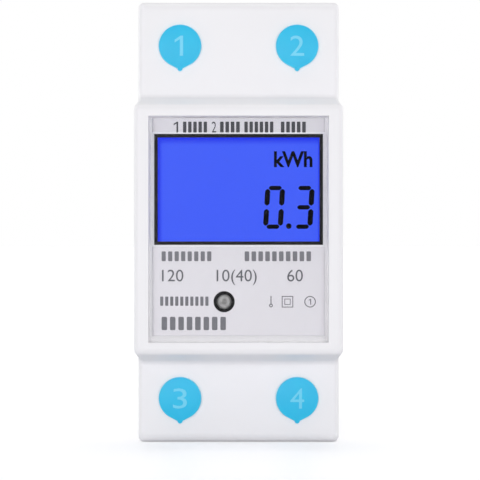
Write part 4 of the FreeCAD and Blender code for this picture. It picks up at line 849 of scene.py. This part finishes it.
def faceplatePrint():
    # words become rows of plain blocks, and the figures are plain numbers. A white ring round the display's
    # cut-out is a painted highlight of the cut edge.
    back, front = plate["front"] - plate["sunk"], plate["front"] + plate["rise"]
    dark, pale, grey, white = (bmesh.new() for _ in range(4))
    title, line = plate["title"], plate["line"]
    for word in title["words"]:
        layBlocks(dark, word, title["low"], title["high"], title, back, front)
    layOne(dark, plate["titleOne"], title["low"], title["high"], back, front)
    left, wide = plate["titleTwo"]
    layText(dark, "2", left, title["low"], title["high"], back, front, wide)
    for row in plate["rows"]:
        for word in row["words"]:
            layBlocks(pale, word, row["low"], row["high"], row, back, front)
    for figures, left in plate["ratings"]:
        layText(grey, figures, left, plate["ratingLow"], plate["ratingHigh"], back, front)
    level = plate["markMiddle"]
    for x, half, thick in plate["squares"]:
        outer = flatBox(x - half, level - half, x + half, level + half)
        half -= thick
        layRing(grey, outer, flatBox(x - half, level - half, x + half, level + half), back, front)
    x, radius = plate["ring"]
    layRing(grey, circleOutline(x, level, radius), circleOutline(x, level, radius - line), back, front)
    left, half = plate["ringOne"]
    layOne(grey, x - left, level - half, level + half, back, front)
    x, low, high = plate["mast"]
    radius = plate["mastRadius"]
    layRing(grey, circleOutline(x, low, radius), circleOutline(x, low, radius - line), back, front)
    layShape(grey, flatBox(x - line / 2, low + radius, x + line / 2, high), back, front)
    # painted highlight: a thin white ring round the cut-out stands for the light on the faceplate's cut edge
    left, low, right, high = plate["cutOut"]
    wide = plate["highlightWide"]
    layRing(white, flatBox(left - wide, low - wide, right + wide, high + wide), flatBox(left, low, right, high),
            back, front)
    makePiece("print_dark", dark, darkInk, "meter")
    makePiece("print_pale", pale, paleInk, "meter")
    makePiece("print_grey", grey, greyInk, "meter")
    makePiece("painted_edge_highlight", white, edgeHighlightWhite, "meter")


faceplatePrint()
print("faceplate printed")

# closedPitch is the rise of a closed end turn in wire radii, so two would touch
coil = {"wireRadius": 0.2, "turns": 8.0, "closedTurns": 1.2, "closedPitch": 2.1, "around": 12, "perTurn": 36}


def catchSpring():
    # a coil with close end turns, wound on the helix that the plain solid stands for
    low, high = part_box("catch_spring")
    x, y = (low.x + high.x) / 2, (low.y + high.y) / 2
    wire = coil["wireRadius"] * mm
    radius = (high.x - low.x) / 2 - wire
    count = int(coil["turns"] * coil["perTurn"])
    start, length = low.z + wire, high.z - low.z - 2 * wire
    closed = coil["closedTurns"] / coil["turns"]
    closedRise = coil["closedTurns"] * coil["closedPitch"] * wire / length

    def rise(share):
        if share < closed:
            return share / closed * closedRise
        if share > 1 - closed:
            return 1 - (1 - share) / closed * closedRise
        return closedRise + (share - closed) / (1 - 2 * closed) * (1 - 2 * closedRise)

    bm = bmesh.new()
    rings = []
    for n in range(count + 1):
        share = n / count
        angle = 2 * math.pi * coil["turns"] * share
        outward = Vector((math.cos(angle), math.sin(angle), 0))
        middle = Vector((x, y, start + length * rise(share))) + outward * radius
        rings.append([bm.verts.new(middle + outward * wire * math.cos(2 * math.pi * k / coil["around"])
                                   + Vector((0, 0, wire * math.sin(2 * math.pi * k / coil["around"]))))
                      for k in range(coil["around"])])
    skinRings(bm, rings)
    spring = makePiece("catch_coil", bm, springWire, "meter")
    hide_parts("catch_spring")
    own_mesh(spring)


catchSpring()
print("catch spring wound")

screw = {
    "headHigh": 2.4, "headRadius": 3.2, "headEase": 0.3, "easeSteps": 5, "underEase": 0.15,
    "shankRadius": 2.4, "neckLong": 0.4, "neckDeep": 0.25, "pointLong": 0.8, "pointDeep": 0.6,
    "pitch": 0.8, "threadDeep": 0.42, "flankSteep": 1.25, "crestFlat": 0.1, "around": 48, "perPitch": 8,
    "slotWide": 0.9, "slotDeep": 1.3, "slotLong": 5.0, "cutterOver": 0.5, "creaseDegrees": 40.0,
}


def terminalScrew(number):
    # a headed screw whose thread is cut into the shank, with a crossed slot for either driver
    low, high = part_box(f"terminal_screw_{number}")
    x, z = (low.x + high.x) / 2, (low.z + high.z) / 2
    tip, top = -high.y / mm, -low.y / mm
    under = top - screw["headHigh"]
    bm = bmesh.new()
    rings = []

    def addRing(radiusAt, depth):
        rings.append([bm.verts.new((x + radiusAt(n) * math.cos(2 * math.pi * n / screw["around"]) * mm,
                                    -depth * mm,
                                    z + radiusAt(n) * math.sin(2 * math.pi * n / screw["around"]) * mm))
                      for n in range(screw["around"])])

    def threadAt(depth):
        def radiusAt(n):
            phase = (depth / screw["pitch"] - n / screw["around"]) % 1.0
            flank = abs(phase * 2 - 1)
            deep = screw["threadDeep"] * min(1.0, max(0.0, screw["flankSteep"] * flank - screw["crestFlat"]))
            point = max(0.0, 1 - (depth - tip) / screw["pointLong"]) * screw["pointDeep"]
            return screw["shankRadius"] - deep - point
        return radiusAt

    threaded = under - screw["neckLong"] - tip
    steps = int(threaded / screw["pitch"] * screw["perPitch"])
    for step in range(steps + 1):
        depth = tip + threaded * step / steps
        addRing(threadAt(depth), depth)
    addRing(lambda n: screw["shankRadius"] - screw["neckDeep"], under)
    ease = screw["underEase"]
    for radius, depth in ((screw["headRadius"] - ease, under), (screw["headRadius"], under + ease)):
        addRing(lambda n, r=radius: r, depth)
    for step in range(screw["easeSteps"] + 1):
        turn = math.pi / 2 * step / screw["easeSteps"]
        radius = screw["headRadius"] - screw["headEase"] * (1 - math.cos(turn))
        addRing(lambda n, r=radius: r, top - screw["headEase"] * (1 - math.sin(turn)))
    skinRings(bm, rings)
    piece = makePiece(f"clamp_screw_steel_{number}", bm, zincScrew, f"clamp_screw_{number}",
                      screw["creaseDegrees"])
    cutter = bmesh.new()
    long, wide = screw["slotLong"] / 2, screw["slotWide"] / 2
    cross = [(long, -wide), (long, wide), (wide, wide), (wide, long), (-wide, long), (-wide, wide),
             (-long, wide), (-long, -wide), (-wide, -wide), (-wide, -long), (wide, -long), (wide, -wide)]
    layShape(cutter, [(x / mm + a, z / mm + b) for a, b in cross],
             top - screw["slotDeep"], top + screw["cutterOver"])
    bmesh.ops.recalc_face_normals(cutter, faces=cutter.faces)
    tool = addMesh("cross", cutter)
    cut = piece.modifiers.new("slot", "BOOLEAN")
    cut.object = tool
    cut.solver = "EXACT"
    view = bpy.context.evaluated_depsgraph_get()
    slotted = bpy.data.meshes.new_from_object(piece.evaluated_get(view))
    piece.modifiers.clear()
    piece.data = slotted
    bpy.data.meshes.remove(tool.data)  # its object goes with it
    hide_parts(f"terminal_screw_{number}")


for number in terminals:
    terminalScrew(number)
print("terminal screws threaded")

studio = {
    "focalPixels": 2101.0, "framePixels": 480.0, "sensorMm": 36.0, "fromNoseMm": 360.6, "noseMm": 58.5,
    "noseAtPixel": (238.6, 229.35), "worldLevel": 0.4, "cardMm": 80.0, "cardAwayMm": 432.0,
    "floorReachMm": 4000.0, "floorGapMm": 0.02,
    # the lift is smaller near the part: painted shade on the board round it
    "nearMm": 120.0, "nearLift": 0.31, "farMm": 900.0, "farLift": 0.66,
    # each lamp's place, aim and size in metres, and its watts
    "lamps": {
        "keyLight": ((-0.25, -0.9, 0.065), (0, -0.03, 0), (0.6, 0.19), 2.0),
        "fillLight": ((0.35, -0.9, 0.065), (0, -0.03, 0), (0.6, 0.19), 1.5),
        "leftLight": ((-0.9, 0.25, 0.25), (0, 0, 0), (0.5, 0.5), 2.4),
        "rightLight": ((0.9, 0.25, 0.25), (0, 0, 0), (0.5, 0.5), 2.4),
        "topLight": ((0, -0.05, 0.9), (0, 0, 0), (0.6, 0.6), 1.8),
    },
}


def photoCamera():
    # as far away as the photograph's perspective says, level with the middle of the raised front
    data = bpy.data.cameras.new("photoCamera")
    data.sensor_width = studio["sensorMm"]
    data.lens = studio["focalPixels"] / studio["framePixels"] * studio["sensorMm"]
    middle = studio["framePixels"] / 2
    data.shift_x = (middle - studio["noseAtPixel"][0]) / studio["framePixels"]
    data.shift_y = (studio["noseAtPixel"][1] - middle) / studio["framePixels"]
    data.clip_start = 0.01
    camera = addObject("photoCamera", data)
    camera.location = (0, -(studio["noseMm"] + studio["fromNoseMm"]) * mm, 0)
    camera.rotation_euler = (math.radians(90), 0, 0)
    bpy.context.scene.camera = camera


def softbox(name, place, aim, size, watts):
    # a lamp that is as broad as a softbox, so that its shadows are soft
    data = bpy.data.lights.new(name, "AREA")
    data.shape = "RECTANGLE"
    data.size, data.size_y = size
    data.energy = watts
    lamp = addObject(name, data)
    lamp.location = place
    lamp.rotation_euler = (Vector(aim) - Vector(place)).to_track_quat("-Z", "Y").to_euler()


def whiteWorld():
    # full white where it is seen, mirrored or looked at through the window, dimmer where it lights the part
    world = bpy.data.worlds.new("whiteStudio")
    world.use_nodes = True
    tree = world.node_tree
    path = addNode(tree, "LightPath", {})
    seen = path.outputs["Is Camera Ray"]
    for ray in ("Is Glossy Ray", "Is Transmission Ray"):
        seen = addNode(tree, "Math", {0: seen, 1: path.outputs[ray]}, operation="MAXIMUM").outputs[0]
    level = addNode(tree, "MapRange", {"Value": seen, "To Min": studio["worldLevel"], "To Max": 1.0})
    sky = tree.nodes["Background"]
    sky.inputs["Color"].default_value = linear("#FFFFFF")
    tree.links.new(level.outputs[0], sky.inputs["Strength"])
    bpy.context.scene.world = world


def studioFloor():
    # a white lacquered board that keeps the part's soft shadow. The camera alone sees a lift, which grows with the
    # distance until the board is as white as the world behind it. The smaller lift near the part is painted shade
    # round it, on top of its real shadow.
    made, tree, surface, place = newMaterial("lacquered board, white, sprayed", {
        "Base Color": linear("#F2F2F4"), "Roughness": 0.4, "IOR": 1.5, "Specular IOR Level": 0.02,
    })
    path = addNode(tree, "LightPath", {})
    away = addNode(tree, "VectorMath", {0: place}, operation="LENGTH")
    # painted shade: less lift near the part, so the board is darker round it
    level = addNode(tree, "MapRange", {
        "Value": away.outputs["Value"], "From Min": studio["nearMm"] * mm, "From Max": studio["farMm"] * mm,
        "To Min": studio["nearLift"], "To Max": studio["farLift"],
    })
    lift = addNode(tree, "Math", {0: path.outputs["Is Camera Ray"], 1: level.outputs[0]}, operation="MULTIPLY")
    glow = addNode(tree, "Emission", {"Color": linear("#FFFFFF"), "Strength": lift.outputs[0]})
    both = addNode(tree, "AddShader", {0: surface.outputs[0], 1: glow.outputs[0]})
    tree.links.new(both.outputs[0], tree.nodes["Material Output"].inputs["Surface"])
    reach = studio["floorReachMm"] * mm
    low = cadBox[0].z - studio["floorGapMm"] * mm  # a hair under the foot, so that the two don't flicker
    bm = bmesh.new()
    bm.faces.new([bm.verts.new((x, y, low)) for x, y in flatBox(-reach, -reach, reach, reach)])
    floor = addMesh("floor", bm)
    floor.data.materials.append(made)


def darkCard():
    # a dark card close behind the camera, seen in reflections only, so that no white veils the display
    made = newMaterial("felt card, black", {"Base Color": linear("#08080A"), "Roughness": 0.9})[0]
    bm = bmesh.new()
    outline = flatBox(-studio["cardMm"], cadBox[0].z / mm, studio["cardMm"], studio["cardMm"])
    bm.faces.new([bm.verts.new((x * mm, -studio["cardAwayMm"] * mm, z * mm)) for x, z in outline])
    card = addMesh("card", bm)
    card.data.materials.append(made)
    card.visible_camera = False
    card.visible_diffuse = False
    card.visible_shadow = False


photoCamera()
whiteWorld()
studioFloor()
darkCard()
for lampName, setting in studio["lamps"].items():
    softbox(lampName, *setting)
bpy.context.scene.view_settings.view_transform = "Standard"
print("studio set")
